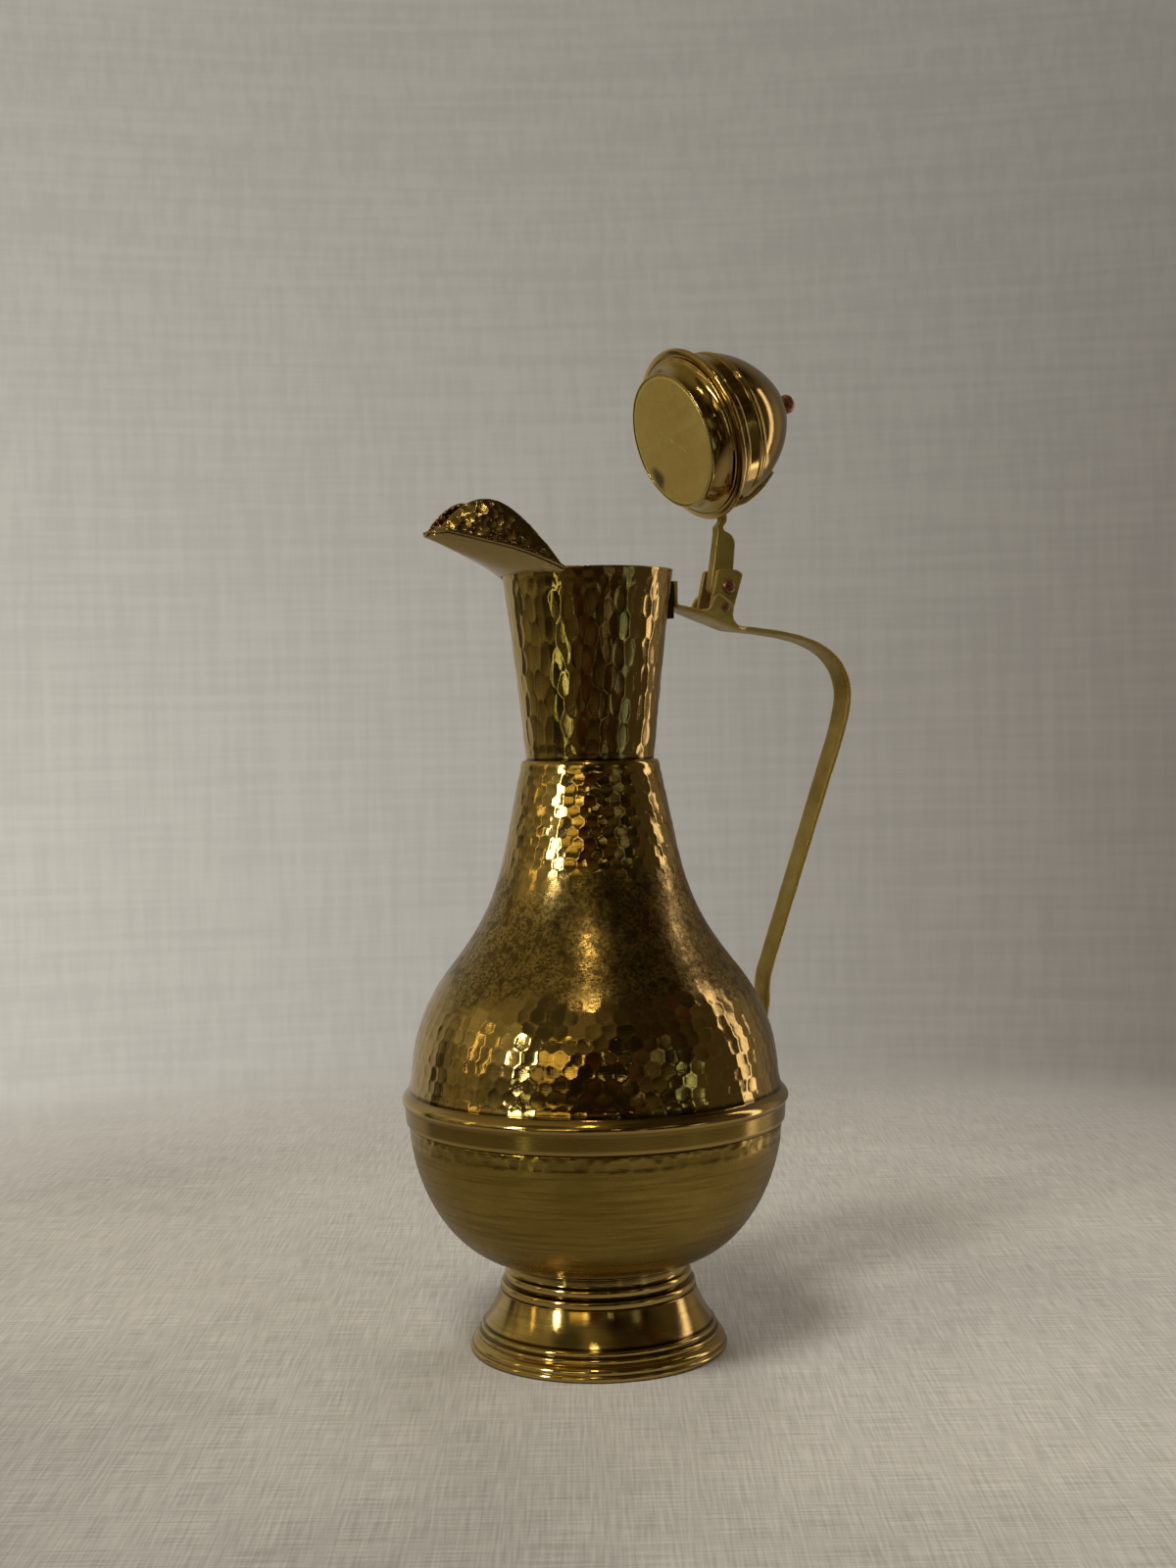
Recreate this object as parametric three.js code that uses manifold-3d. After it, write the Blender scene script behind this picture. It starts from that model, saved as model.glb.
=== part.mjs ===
// Lidded ewer in hammered brass: turned foot, raised bowl and shoulder, planished neck with a
// folded spout lip, strap handle riveted at neck and belly, and a domed lid on a pinned hinge.
// Millimetres, +Z up. The origin is on the ewer's axis, in the plane that the foot stands on.
// +X points to the handle and -X to the spout. The lid stands open, as it is kept on show.

import * as THREE from 'three';
import { mergeVertices } from 'three/addons/utils/BufferGeometryUtils.js';
import Module from 'manifold-3d';

const wasm = await Module();
wasm.setup();

// Metal and fits
const WALL = 1.2; // sheet of the vessel
const SEAT_GAP = 0.3; // room between pieces that touch
const PIN_GAP = 0.3; // room of a turning piece round its pin, all round
const ROUND_STEPS = 32; // facets round the vessel
const SMALL_STEPS = 12; // facets round rivets and pins
const OUTER_STEPS = 7; // facets along each curve of an outside profile
const INNER_STEPS = 5; // and of an inside one

// Foot
const FOOT_HEIGHT = 30.8;
const FOOT_RADIUS = 45; // at the standing band
const FOOT_WALL = 1.6;
const FOOT_RING_WIDTH = 2.4; // flat ring that the ewer stands on
const FOOT_BAND_HEIGHT = 4.6;
const FOOT_STEP = 2.7; // the band stands proud of the mouldings by this
const FLARE_BASE_Z = 9.7;
const FLARE_BASE_INSET = 5.2; // of the flare's base from the band's radius
const FLARE_TOP_Z = 20.8;
const FOOT_WAIST_RADIUS = 34.2; // top of the flare
const FOOT_TOP_RADIUS = 30.9;
const BEAD_PROUD = 0.5; // how far a turned bead stands out

// Bowl, the lower half of the body
const BOWL_BOTTOM_Z = 29.6; // outside of the bottom, on the axis
const BOWL_SEAT_RADIUS = 30.2; // where it rests on the foot
const BOWL_RIM_HEIGHT = 9; // stepped rim that the upper body laps over

// Upper body: belly band and shoulder
const BELLY_RADIUS = 67.1; // ridge of the band
const BAND_EDGE_Z = 79.4;
const BAND_RIDGE_Z = 87.4;
const BAND_TOP_Z = 91.8;
const BAND_LEAN = 2.1; // the band's lower edge is drawn in by this
const RIDGE_STEP = 2.3; // from the ridge in to the shoulder
const KNEE_RADIUS = 49.6; // where the shoulder turns from convex to concave
const KNEE_Z = 133;
const COLLAR_RADIUS = 24.24;
const COLLAR_Z = 201.5;
const COLLAR_HEIGHT = 2.8;

// Neck
const NECK_BASE_RADIUS = 22.15;
const NECK_BASE_Z = 204.5;
const NECK_TUCK = 7; // length of neck inside the collar
const RIM_RADIUS = 29.69;
const RIM_Z = 269.3;

// Spout lip. Reach is measured forward from the axis
const LIP_WALL = 1.1;
const LIP_REACH = 61.2;
const LIP_TIP_Z = 280.4;
const LIP_NOSE = 4.6; // rounded nose ahead of the leaves
const LIP_NOSE_HALF_WIDTH = 6.2;
const LIP_BACK_ANGLE = 45; // degrees from the spout's centre line to the back of each leaf
const KEEL_SLOPE = 0.377; // rise of the trough's bottom line
const CREASE_RISE = 2.5; // of the crease above the bottom line, at the nose
const CREASE_SLOPE = 0.274;
const LEAF_HEIGHT = 14.2;
const LEAF_LEAN = 0.35; // inward lean of a leaf for each mm of its height
const LEAF_BULGE = 0.9;

// Handle strap. The points below are on its middle line
const STRAP_THICKNESS = 2;
const STRAP_WIDTH_HIGH = 11.2;
const STRAP_WIDTH_LOW = 9;
const PAD_THICKNESS = 2.2; // plate between the strap and the vessel
const NECK_TAB_TOP_Z = 266.4;
const NECK_TAB_LENGTH = 7.7;
const ARM_START = new THREE.Vector2(42, 255.5);
const ARM_END = new THREE.Vector2(57, 250.55);
const ARM_LEVEL = new THREE.Vector2(66.5, 249.4);
const SHOULDER_TURN = new THREE.Vector2(97.5, 242.5);
const HANDLE_REACH = new THREE.Vector2(107.8, 226);
const RUN_START = new THREE.Vector2(97.3, 193);
const RUN_END = new THREE.Vector2(71.8, 126.8);
const TAIL_TURN = new THREE.Vector2(70.3, 116);
const BODY_TAB_TOP_Z = 104;
const BODY_TAB_END_Z = 90.5;

// Rivets
const RIVET_RADIUS = 1.1;
const RIVET_HEAD_RADIUS = 1.8;
const RIVET_HEAD_HEIGHT = 1.1;
const NECK_RIVET_Z = NECK_TAB_TOP_Z - 1.8;
const NECK_RIVET_PITCH = 3.9;
const BODY_RIVET_Z = BODY_TAB_TOP_Z - 3.4;
const BODY_RIVET_PITCH = 6;

// Hinge
const PIN_X = 54.8;
const PIN_Z = 264.7;
const PIN_RADIUS = 1.7;
const PIN_HEAD_RADIUS = 2.5;
const PIN_HEAD_HEIGHT = 1.4;
const OPEN_ANGLE = 72; // degrees from closed to the pose shown
const EAR_SPAN = 10.6; // over the outsides of the ears
const EAR_THICKNESS = 1.8;
const EAR_HEIGHT = 18.6;
const EAR_FRONT = -7.6;
const EAR_BACK = 2.7;
const BRACKET_X = 52.5; // place of the bracket along the arm
const WING_THICKNESS = 1.6;
const WING_HEIGHT = 7.2;
const CROSS_RIVET_U = -2;
const CROSS_RIVET_V = 3.9;

// Lid. Heights are above the flange's underside when the lid is closed
const FLANGE_OVERHANG = 1.4; // past the neck's rim
const FLANGE_THICKNESS = 1.9;
const DOME_WALL = 1.1;
const DOME_RADIUS = 26.7;
const DOME_SPRING_H = 13.8; // where the dome starts to close in
const DOME_TOP_H = 38.6;
const PLUG_DEPTH = 7.9;
const PLUG_RADIUS = 24.2;
const PLUG_WALL = 1;
const PLUG_CLEARANCE = 0.5; // inside the neck's mouth
const DISC_THICKNESS = 1;
const FINIAL_RADIUS = 3.6;
const FINIAL_HEIGHT = 6.9;
const FINIAL_STUD_RADIUS = 1.5;
const TONGUE_WIDTH = 4;
const TONGUE_BOSS_RADIUS = 5.2;
const TONGUE_DEPTH = 6; // of its back edge from the pin
const BACK_STRAP_WIDTH = 7;
const BACK_STRAP_THICKNESS = 1.8;
const BACK_STRAP_TOP_H = 27;

const brass = (color, roughness) =>
  new THREE.MeshStandardMaterial({ color, roughness, metalness: 1 });

const v2 = (x, y) => new THREE.Vector2(x, y);
const radians = THREE.MathUtils.degToRad;

// Booleans

function toSolid(geometry) {
  const bare = geometry.clone();
  bare.deleteAttribute('normal');
  bare.deleteAttribute('uv');
  const merged = mergeVertices(bare, 1e-4);
  const index = [];
  const corner = merged.index.array;
  for (let i = 0; i < corner.length; i += 3) {
    const [a, b, c] = [corner[i], corner[i + 1], corner[i + 2]];
    if (a !== b && b !== c && c !== a) index.push(a, b, c);
  }
  const mesh = new wasm.Mesh({
    numProp: 3,
    vertProperties: new Float32Array(merged.attributes.position.array),
    triVerts: new Uint32Array(index),
  });
  return new wasm.Manifold(mesh);
}

function toGeometry(solid) {
  const mesh = solid.getMesh();
  const geometry = new THREE.BufferGeometry();
  geometry.setAttribute('position', new THREE.BufferAttribute(mesh.vertProperties, 3));
  geometry.setIndex(new THREE.BufferAttribute(mesh.triVerts, 1));
  geometry.computeVertexNormals();
  return geometry;
}

function cut(geometry, ...tools) {
  let solid = toSolid(geometry);
  for (const tool of tools) solid = solid.subtract(toSolid(tool));
  return toGeometry(solid);
}

function join(geometry, ...others) {
  let solid = toSolid(geometry);
  for (const other of others) solid = solid.add(toSolid(other));
  return toGeometry(solid);
}

// Forms

// Turns a profile of (radius, height) points about Z. It runs anticlockwise, up the outside.
function turn(points, steps = ROUND_STEPS) {
  return new THREE.LatheGeometry(points, steps).rotateX(Math.PI / 2);
}

// The same points moved sideways, to the left of their direction.
function offset(points, distance) {
  return points.map((point, i) => {
    const before = points[Math.max(i - 1, 0)];
    const after = points[Math.min(i + 1, points.length - 1)];
    const a = point.clone().sub(before).normalize();
    const b = after.clone().sub(point).normalize();
    const along = a.clone().add(b).normalize();
    const bend = i > 0 && i < points.length - 1 ? along.dot(b) : 1;
    return v2(-along.y, along.x).multiplyScalar(distance / Math.max(bend, 0.6)).add(point);
  });
}

// Radius of an upward profile at a height.
function radiusAt(points, z) {
  for (let i = 1; i < points.length; i++) {
    const [low, high] = [points[i - 1], points[i]];
    if (z <= high.y && high.y > low.y) {
      return THREE.MathUtils.mapLinear(Math.max(z, low.y), low.y, high.y, low.x, high.x);
    }
  }
  return points[points.length - 1].x;
}

// A solid that fills a profile to the axis, grown by a gap: the room that a fitted piece leaves.
function blank(points, gap) {
  const grown = offset(points, -gap);
  const [low, high] = [grown[0], grown[grown.length - 1]];
  return turn([v2(0, low.y), ...grown, v2(0, high.y)]);
}

// A rounded bead from the path's present height upward.
function bead(path, radius, height) {
  const low = path.currentPoint.y;
  path.lineTo(radius + BEAD_PROUD, low + height * 0.25);
  path.lineTo(radius + BEAD_PROUD, low + height * 0.7);
  path.lineTo(radius, low + height);
}

// Joins rings of points into one closed skin. Point i of a ring lies across from its last but i.
function loft(rings) {
  const size = rings[0].length;
  const position = rings.flat().flatMap((p) => [p.x, p.y, p.z]);
  const index = [];
  for (let r = 0; r + 1 < rings.length; r++) {
    for (let i = 0; i < size; i++) {
      const [a, b] = [r * size + i, r * size + ((i + 1) % size)];
      index.push(a, a + size, b, b, a + size, b + size);
    }
  }
  const last = (rings.length - 1) * size;
  for (let i = 0; i + 1 < size / 2; i++) {
    const [a, b, c, d] = [i, i + 1, size - 2 - i, size - 1 - i];
    index.push(a, b, c, a, c, d);
    index.push(last + a, last + c, last + b, last + a, last + d, last + c);
  }
  const geometry = new THREE.BufferGeometry();
  geometry.setAttribute('position', new THREE.Float32BufferAttribute(position, 3));
  geometry.setIndex(index);
  geometry.computeVertexNormals();
  return geometry;
}

// A flat plate: an outline in X and Z, with its thickness along Y between two places.
function plate(shape, yLow, yHigh, curveSteps = 5) {
  const options = { depth: yHigh - yLow, bevelEnabled: false, curveSegments: curveSteps };
  const geometry = new THREE.ExtrudeGeometry(shape, options);
  return geometry.rotateX(Math.PI / 2).translate(0, yHigh, 0);
}

// A round rod along an axis, for pins' holes.
function rod(radius, length, axis, centre) {
  const geometry = new THREE.CylinderGeometry(radius, radius, length, SMALL_STEPS);
  if (axis === 'x') geometry.rotateZ(-Math.PI / 2);
  if (axis === 'z') geometry.rotateX(Math.PI / 2);
  return geometry.translate(centre.x, centre.y, centre.z);
}

// A rivet along X: its grip lies between two places, with a domed head at each end.
function rivet(radius, headRadius, headHeight, low, high) {
  const path = new THREE.Path();
  path.moveTo(0, low - headHeight);
  path.quadraticCurveTo(headRadius * 0.9, low - headHeight, headRadius, low);
  path.lineTo(radius, low);
  path.lineTo(radius, high);
  path.lineTo(headRadius, high);
  path.quadraticCurveTo(headRadius * 0.9, high + headHeight, 0, high + headHeight);
  return turn(path.getPoints(3), SMALL_STEPS).rotateY(Math.PI / 2);
}

// Profiles of the vessel, all upward along the outside

function footProfile() {
  const stepRadius = FOOT_RADIUS - FOOT_STEP;
  const flareRadius = FOOT_RADIUS - FLARE_BASE_INSET;
  const beadHeight = 1.6;
  const collarBead = (FOOT_HEIGHT - FLARE_TOP_Z) * 0.28;
  const path = new THREE.Path();
  path.moveTo(FOOT_RADIUS - 0.7, 0);
  path.quadraticCurveTo(FOOT_RADIUS + 0.5, FOOT_BAND_HEIGHT * 0.35, FOOT_RADIUS - 2.1, FOOT_BAND_HEIGHT);
  path.lineTo(stepRadius, FOOT_BAND_HEIGHT + 0.5);
  bead(path, stepRadius - 0.7, beadHeight);
  path.lineTo(flareRadius + 1.2, path.currentPoint.y + 0.5);
  bead(path, flareRadius + 0.7, beadHeight);
  path.lineTo(flareRadius, FLARE_BASE_Z);
  path.bezierCurveTo(
    flareRadius - 1.6, FLARE_BASE_Z + 2.9,
    FOOT_WAIST_RADIUS + 1.5, FLARE_TOP_Z - 3.4,
    FOOT_WAIST_RADIUS, FLARE_TOP_Z,
  );
  bead(path, FOOT_WAIST_RADIUS - 0.8, collarBead);
  path.lineTo(FOOT_WAIST_RADIUS - 1.7, path.currentPoint.y + 0.7);
  bead(path, FOOT_WAIST_RADIUS - 2.3, collarBead);
  path.lineTo(FOOT_TOP_RADIUS + 0.3, path.currentPoint.y + 0.7);
  path.lineTo(FOOT_TOP_RADIUS, FOOT_HEIGHT);
  return path.getPoints(4);
}

function bowlProfile() {
  const topRadius = BELLY_RADIUS - BAND_LEAN - SEAT_GAP;
  const topZ = BAND_EDGE_Z - SEAT_GAP;
  const seatZ = FOOT_HEIGHT + SEAT_GAP;
  const path = new THREE.Path();
  path.moveTo(0, BOWL_BOTTOM_Z);
  path.quadraticCurveTo(BOWL_SEAT_RADIUS * 0.6, BOWL_BOTTOM_Z, BOWL_SEAT_RADIUS, seatZ);
  path.bezierCurveTo(
    BOWL_SEAT_RADIUS + 20.4, seatZ + 2,
    topRadius - 0.8, topZ - 21.6,
    topRadius, topZ,
  );
  return path;
}

function upperBodyProfile() {
  const base = BELLY_RADIUS - RIDGE_STEP;
  const path = new THREE.Path();
  path.moveTo(BELLY_RADIUS - BAND_LEAN, BAND_EDGE_Z);
  path.lineTo(BELLY_RADIUS - 0.7, BAND_RIDGE_Z - 1.4);
  path.lineTo(BELLY_RADIUS - 0.1, BAND_RIDGE_Z - 0.7);
  path.lineTo(BELLY_RADIUS, BAND_RIDGE_Z + 0.2);
  path.lineTo(BELLY_RADIUS - 0.5, BAND_RIDGE_Z + 1.5);
  path.lineTo(base + 0.4, BAND_RIDGE_Z + 3);
  path.lineTo(base, BAND_TOP_Z);
  path.bezierCurveTo(base - 2.3, BAND_TOP_Z + 5.8, KNEE_RADIUS + 16.1, KNEE_Z - 20.2, KNEE_RADIUS, KNEE_Z);
  path.bezierCurveTo(
    KNEE_RADIUS - 19.1, KNEE_Z + 23.9,
    COLLAR_RADIUS + 7.7, COLLAR_Z - 34.2,
    COLLAR_RADIUS, COLLAR_Z,
  );
  return path;
}

function neckProfile() {
  const path = new THREE.Path();
  path.moveTo(NECK_BASE_RADIUS, NECK_BASE_Z - NECK_TUCK);
  path.lineTo(NECK_BASE_RADIUS, NECK_BASE_Z);
  path.bezierCurveTo(
    NECK_BASE_RADIUS + 2.4, NECK_BASE_Z + 21,
    RIM_RADIUS - 3.25, RIM_Z - 21,
    RIM_RADIUS, RIM_Z,
  );
  return path;
}

const neckOuter = neckProfile().getPoints(OUTER_STEPS);
const bodyOuter = upperBodyProfile().getPoints(OUTER_STEPS);

// The inside of a sheet whose outside is a path, from the top down.
function lining(path) {
  return offset(path.getPoints(INNER_STEPS), WALL).reverse();
}

// Vessel

function foot() {
  const outer = footProfile();
  const flareRadius = FOOT_RADIUS - FLARE_BASE_INSET;
  const inner = [
    v2(FOOT_TOP_RADIUS - FOOT_WALL, FOOT_HEIGHT),
    v2(FOOT_WAIST_RADIUS - FOOT_WALL - 0.4, FLARE_TOP_Z),
    v2(FOOT_WAIST_RADIUS + 2.1 - FOOT_WALL, (FLARE_BASE_Z + FLARE_TOP_Z) / 2),
    v2(flareRadius - FOOT_WALL, FLARE_BASE_Z),
    v2(FOOT_RADIUS - 0.6 - FOOT_RING_WIDTH, FOOT_BAND_HEIGHT / 2),
    v2(FOOT_RADIUS - 0.6 - FOOT_RING_WIDTH, 0),
  ];
  return turn([...outer, ...inner, outer[0].clone()]);
}

function lowerBowl() {
  const path = bowlProfile();
  const rimRadius = BELLY_RADIUS - BAND_LEAN - WALL - SEAT_GAP;
  path.lineTo(rimRadius, BAND_EDGE_Z - 0.2);
  path.lineTo(rimRadius, BAND_EDGE_Z + BOWL_RIM_HEIGHT);
  const inner = lining(path);
  inner[inner.length - 1].x = 0;
  inner[0].y = BAND_EDGE_Z + BOWL_RIM_HEIGHT;
  return turn([...path.getPoints(OUTER_STEPS), ...inner]);
}

function upperBody() {
  const collarBore = NECK_BASE_RADIUS + SEAT_GAP;
  const top = COLLAR_Z + COLLAR_HEIGHT;
  const collar = [
    v2(COLLAR_RADIUS - 0.1, top - 1.3),
    v2(COLLAR_RADIUS - 0.7, top - 0.4),
    v2(THREE.MathUtils.lerp(collarBore, COLLAR_RADIUS, 0.3), top),
    v2(collarBore, top),
    v2(collarBore, COLLAR_Z),
  ];
  const inner = lining(upperBodyProfile());
  const start = bodyOuter[0];
  inner[inner.length - 1] = v2(start.x - WALL, start.y);
  const profile = [...bodyOuter, ...collar, ...inner.slice(1), start.clone()];
  return cut(turn(profile), ...rivetHoles(BODY_RIVET_Z, BODY_RIVET_PITCH, BELLY_RADIUS));
}

function neck() {
  const inner = lining(neckProfile());
  inner[0].y = RIM_Z;
  inner[inner.length - 1].y = neckOuter[0].y;
  const shell = turn([...neckOuter, ...inner, neckOuter[0].clone()]);
  return cut(shell, ...rivetHoles(NECK_RIVET_Z, NECK_RIVET_PITCH, RIM_RADIUS));
}

// Two holes along X for the rivets of one end of the handle, from inside the vessel outward.
function rivetHoles(upperZ, pitch, wallRadius) {
  const length = 24;
  return [upperZ, upperZ - pitch].map((z) => {
    const centre = new THREE.Vector3(wallRadius, 0, z);
    return rod(RIVET_RADIUS + SEAT_GAP, length, 'x', centre);
  });
}

// Spout lip: a sheet folded into a trough with a leaf along each side

const flangeRadius = RIM_RADIUS + FLANGE_OVERHANG;
const lipBackRadius = flangeRadius + SEAT_GAP + 0.4;
const lipBack = v2(
  lipBackRadius * Math.cos(radians(LIP_BACK_ANGLE)),
  lipBackRadius * Math.sin(radians(LIP_BACK_ANGLE)),
);

// The lip's measures at a distance forward of the axis.
function lipAt(reach) {
  const noseStart = LIP_REACH - LIP_NOSE;
  const back = THREE.MathUtils.clamp((noseStart - reach) / (noseStart - lipBack.x), 0, 1.05);
  const nose = THREE.MathUtils.clamp((LIP_REACH - reach) / LIP_NOSE, 0, 1);
  const halfWidth = reach > noseStart
    ? LIP_NOSE_HALF_WIDTH * Math.sqrt(nose) + 0.2
    : THREE.MathUtils.lerp(LIP_NOSE_HALF_WIDTH + 0.2, lipBack.y, back);
  const keelZ = LIP_TIP_Z - (LIP_REACH - reach) * KEEL_SLOPE;
  const noseKeelZ = LIP_TIP_Z - LIP_NOSE * KEEL_SLOPE;
  const creaseZ = reach > noseStart
    ? keelZ + CREASE_RISE * nose
    : noseKeelZ + CREASE_RISE - (noseStart - reach) * CREASE_SLOPE;
  const leafFraction = (noseStart + 1.2 - reach) / (noseStart + 1.2 - lipBack.x);
  const arch = Math.sin(Math.PI * THREE.MathUtils.clamp(leafFraction, 0, 1));
  const leafHeight = 0.4 + LEAF_HEIGHT * Math.max(arch, 0) ** 0.9;
  return { halfWidth, keelZ, creaseZ, leafHeight, flatness: THREE.MathUtils.lerp(1.3, 2.1, back) };
}

// Half of the lip's section from the bottom line to the leaf's edge, as (sideways, height).
function lipHalfSection(reach, troughSteps, leafSteps) {
  const { halfWidth, keelZ, creaseZ, leafHeight, flatness } = lipAt(reach);
  const half = [];
  for (let i = 0; i <= troughSteps; i++) {
    const y = i / troughSteps;
    half.push(v2(halfWidth * y, keelZ + (creaseZ - keelZ) * y ** flatness));
  }
  for (let i = 1; i <= leafSteps; i++) {
    const h = i / leafSteps;
    const lean = LEAF_LEAN * leafHeight * h - LEAF_BULGE * Math.sin(Math.PI * h) * leafHeight / LEAF_HEIGHT;
    half.push(v2(halfWidth - lean, creaseZ + leafHeight * h));
  }
  return half;
}

function lipRing(reach) {
  const half = lipHalfSection(reach, 5, 4);
  const mirrored = half.slice(1).reverse().map((p) => v2(-p.x, p.y));
  const inside = [...mirrored, ...half];
  const outside = offset(inside, -LIP_WALL).reverse();
  return [...inside, ...outside].map((p) => new THREE.Vector3(-reach, p.x, p.y));
}

function spoutLip() {
  const backEnd = lipBack.x - 1;
  const stations = 15;
  const rings = [];
  for (let i = 0; i <= stations; i++) {
    const t = i / stations;
    rings.push(lipRing(THREE.MathUtils.lerp(LIP_REACH, backEnd, t * (0.55 + 0.45 * t))));
  }
  const lidRoom = turn([
    v2(0, RIM_Z - 0.1),
    v2(flangeRadius + SEAT_GAP, RIM_Z - 0.1),
    v2(flangeRadius + SEAT_GAP, RIM_Z + 2 * LEAF_HEIGHT),
    v2(0, RIM_Z + 2 * LEAF_HEIGHT),
  ]);
  return cut(loft(rings), blank(neckOuter, SEAT_GAP), lidRoom);
}

// Handle

const neckTabX = radiusAt(neckOuter, NECK_RIVET_Z) + PAD_THICKNESS + 2 * SEAT_GAP + STRAP_THICKNESS / 2;
const bodyTabX = radiusAt(bodyOuter, BAND_TOP_Z + 1) + PAD_THICKNESS + 2 * SEAT_GAP + STRAP_THICKNESS / 2;
const armDirection = ARM_END.clone().sub(ARM_START).normalize();

// Middle line of the strap, as (X, Z), from its top end to its lower end.
function strapLine() {
  const tabFoot = NECK_TAB_TOP_Z - NECK_TAB_LENGTH;
  const before = (point, distance) => point.clone().addScaledVector(armDirection, distance);
  const armLead = before(ARM_START, -6.7);
  const armTrail = before(ARM_END, 3);
  const path = new THREE.Path();
  path.moveTo(neckTabX, NECK_TAB_TOP_Z);
  path.lineTo(neckTabX, tabFoot);
  path.bezierCurveTo(neckTabX, tabFoot - 2.2, armLead.x, armLead.y, ARM_START.x, ARM_START.y);
  path.lineTo(ARM_END.x, ARM_END.y);
  path.bezierCurveTo(armTrail.x, armTrail.y, ARM_LEVEL.x - 4, ARM_LEVEL.y + 0.4, ARM_LEVEL.x, ARM_LEVEL.y);
  path.bezierCurveTo(
    ARM_LEVEL.x + 10.5, ARM_LEVEL.y - 1,
    SHOULDER_TURN.x - 8.5, SHOULDER_TURN.y + 4.7,
    SHOULDER_TURN.x, SHOULDER_TURN.y,
  );
  path.bezierCurveTo(
    SHOULDER_TURN.x + 6.3, SHOULDER_TURN.y - 3.5,
    HANDLE_REACH.x, HANDLE_REACH.y + 7,
    HANDLE_REACH.x, HANDLE_REACH.y,
  );
  path.bezierCurveTo(
    HANDLE_REACH.x, HANDLE_REACH.y - 8.5,
    RUN_START.x + 4, RUN_START.y + 10.4,
    RUN_START.x, RUN_START.y,
  );
  path.lineTo(RUN_END.x, RUN_END.y);
  path.bezierCurveTo(RUN_END.x - 1.4, RUN_END.y - 3.6, TAIL_TURN.x, TAIL_TURN.y + 4, TAIL_TURN.x, TAIL_TURN.y);
  path.bezierCurveTo(TAIL_TURN.x, TAIL_TURN.y - 4, bodyTabX, BODY_TAB_TOP_Z + 4, bodyTabX, BODY_TAB_TOP_Z);
  path.lineTo(bodyTabX, BODY_TAB_END_Z);
  return path;
}

const cradleWidth = EAR_SPAN + 2 * (SEAT_GAP + WING_THICKNESS);

// Width of the strap: it tapers downward, and spreads at the cradle for the hinge bracket.
function strapWidth(fraction, point) {
  const plain = THREE.MathUtils.lerp(STRAP_WIDTH_HIGH, STRAP_WIDTH_LOW, Math.min(fraction * 1.3, 1));
  const away = Math.abs(point.x - (BRACKET_X - 3));
  const onArm = point.y > ARM_LEVEL.y - 1 ? 1 - THREE.MathUtils.smoothstep(away, 7.5, 13) : 0;
  return THREE.MathUtils.lerp(plain, cradleWidth, onArm);
}

function strapRing(point, direction, width) {
  const edge = 0.45;
  const [w, t] = [width / 2, STRAP_THICKNESS / 2];
  const section = [
    [-w, t - edge], [-w + edge, t], [w - edge, t], [w, t - edge],
    [w, -t + edge], [w - edge, -t], [-w + edge, -t], [-w, -t + edge],
  ];
  return section.map(([across, out]) => new THREE.Vector3(
    point.x - direction.y * out,
    across,
    point.y + direction.x * out,
  ));
}

function strapPoints() {
  const points = strapLine().getPoints(6);
  const armStart = points.findIndex((p) => p.distanceTo(ARM_START) < 1e-6);
  const armSteps = 8;
  const arm = [];
  for (let i = 1; i < armSteps; i++) arm.push(ARM_START.clone().lerp(ARM_END, i / armSteps));
  points.splice(armStart + 1, 0, ...arm);
  return points;
}

const bracketFrame = new THREE.Group();
const armTop = ARM_START.clone().lerp(ARM_END, (BRACKET_X - ARM_START.x) / (ARM_END.x - ARM_START.x));
armTop.add(v2(-armDirection.y, armDirection.x).multiplyScalar(STRAP_THICKNESS / 2));
bracketFrame.position.set(armTop.x, 0, armTop.y);
bracketFrame.rotation.y = -Math.atan2(armDirection.y, armDirection.x);
bracketFrame.updateMatrix();
const pinInBracket = new THREE.Vector3(PIN_X, 0, PIN_Z).applyMatrix4(bracketFrame.matrix.clone().invert());

// Outline of a wing of the cradle, in the bracket's frame, down into the strap's thickness.
function wingShape() {
  const low = -STRAP_THICKNESS / 2;
  const shape = new THREE.Shape();
  shape.moveTo(EAR_FRONT - 2.6, low);
  shape.lineTo(EAR_BACK + 0.4, low);
  shape.lineTo(EAR_BACK, 0.7);
  shape.quadraticCurveTo(EAR_BACK - 0.4, WING_HEIGHT - 0.2, EAR_BACK - 4, WING_HEIGHT - 0.3);
  shape.lineTo(EAR_FRONT + 2.2, WING_HEIGHT);
  shape.quadraticCurveTo(EAR_FRONT + 0.8, WING_HEIGHT - 0.6, EAR_FRONT, 2.6);
  shape.quadraticCurveTo(EAR_FRONT - 0.6, 0.6, EAR_FRONT - 2.6, low + 0.6);
  return shape;
}

function handleStrap() {
  const points = strapPoints();
  const rings = points.map((point, i) => {
    const before = points[Math.max(i - 1, 0)];
    const after = points[Math.min(i + 1, points.length - 1)];
    const direction = after.clone().sub(before).normalize();
    return strapRing(point, direction, strapWidth(i / (points.length - 1), point));
  });
  const inner = EAR_SPAN / 2 + SEAT_GAP;
  const wings = [-1, 1].map((side) => {
    const [a, b] = [side * inner, side * (inner + WING_THICKNESS)];
    return plate(wingShape(), Math.min(a, b), Math.max(a, b)).applyMatrix4(bracketFrame.matrix);
  });
  const crossHole = rod(RIVET_RADIUS + SEAT_GAP, 2 * cradleWidth, 'y', crossRivetPlace())
    .applyMatrix4(bracketFrame.matrix);
  return cut(
    join(loft(rings), ...wings),
    crossHole,
    ...rivetHoles(NECK_RIVET_Z, NECK_RIVET_PITCH, neckTabX),
    ...rivetHoles(BODY_RIVET_Z, BODY_RIVET_PITCH, bodyTabX),
  );
}

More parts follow.
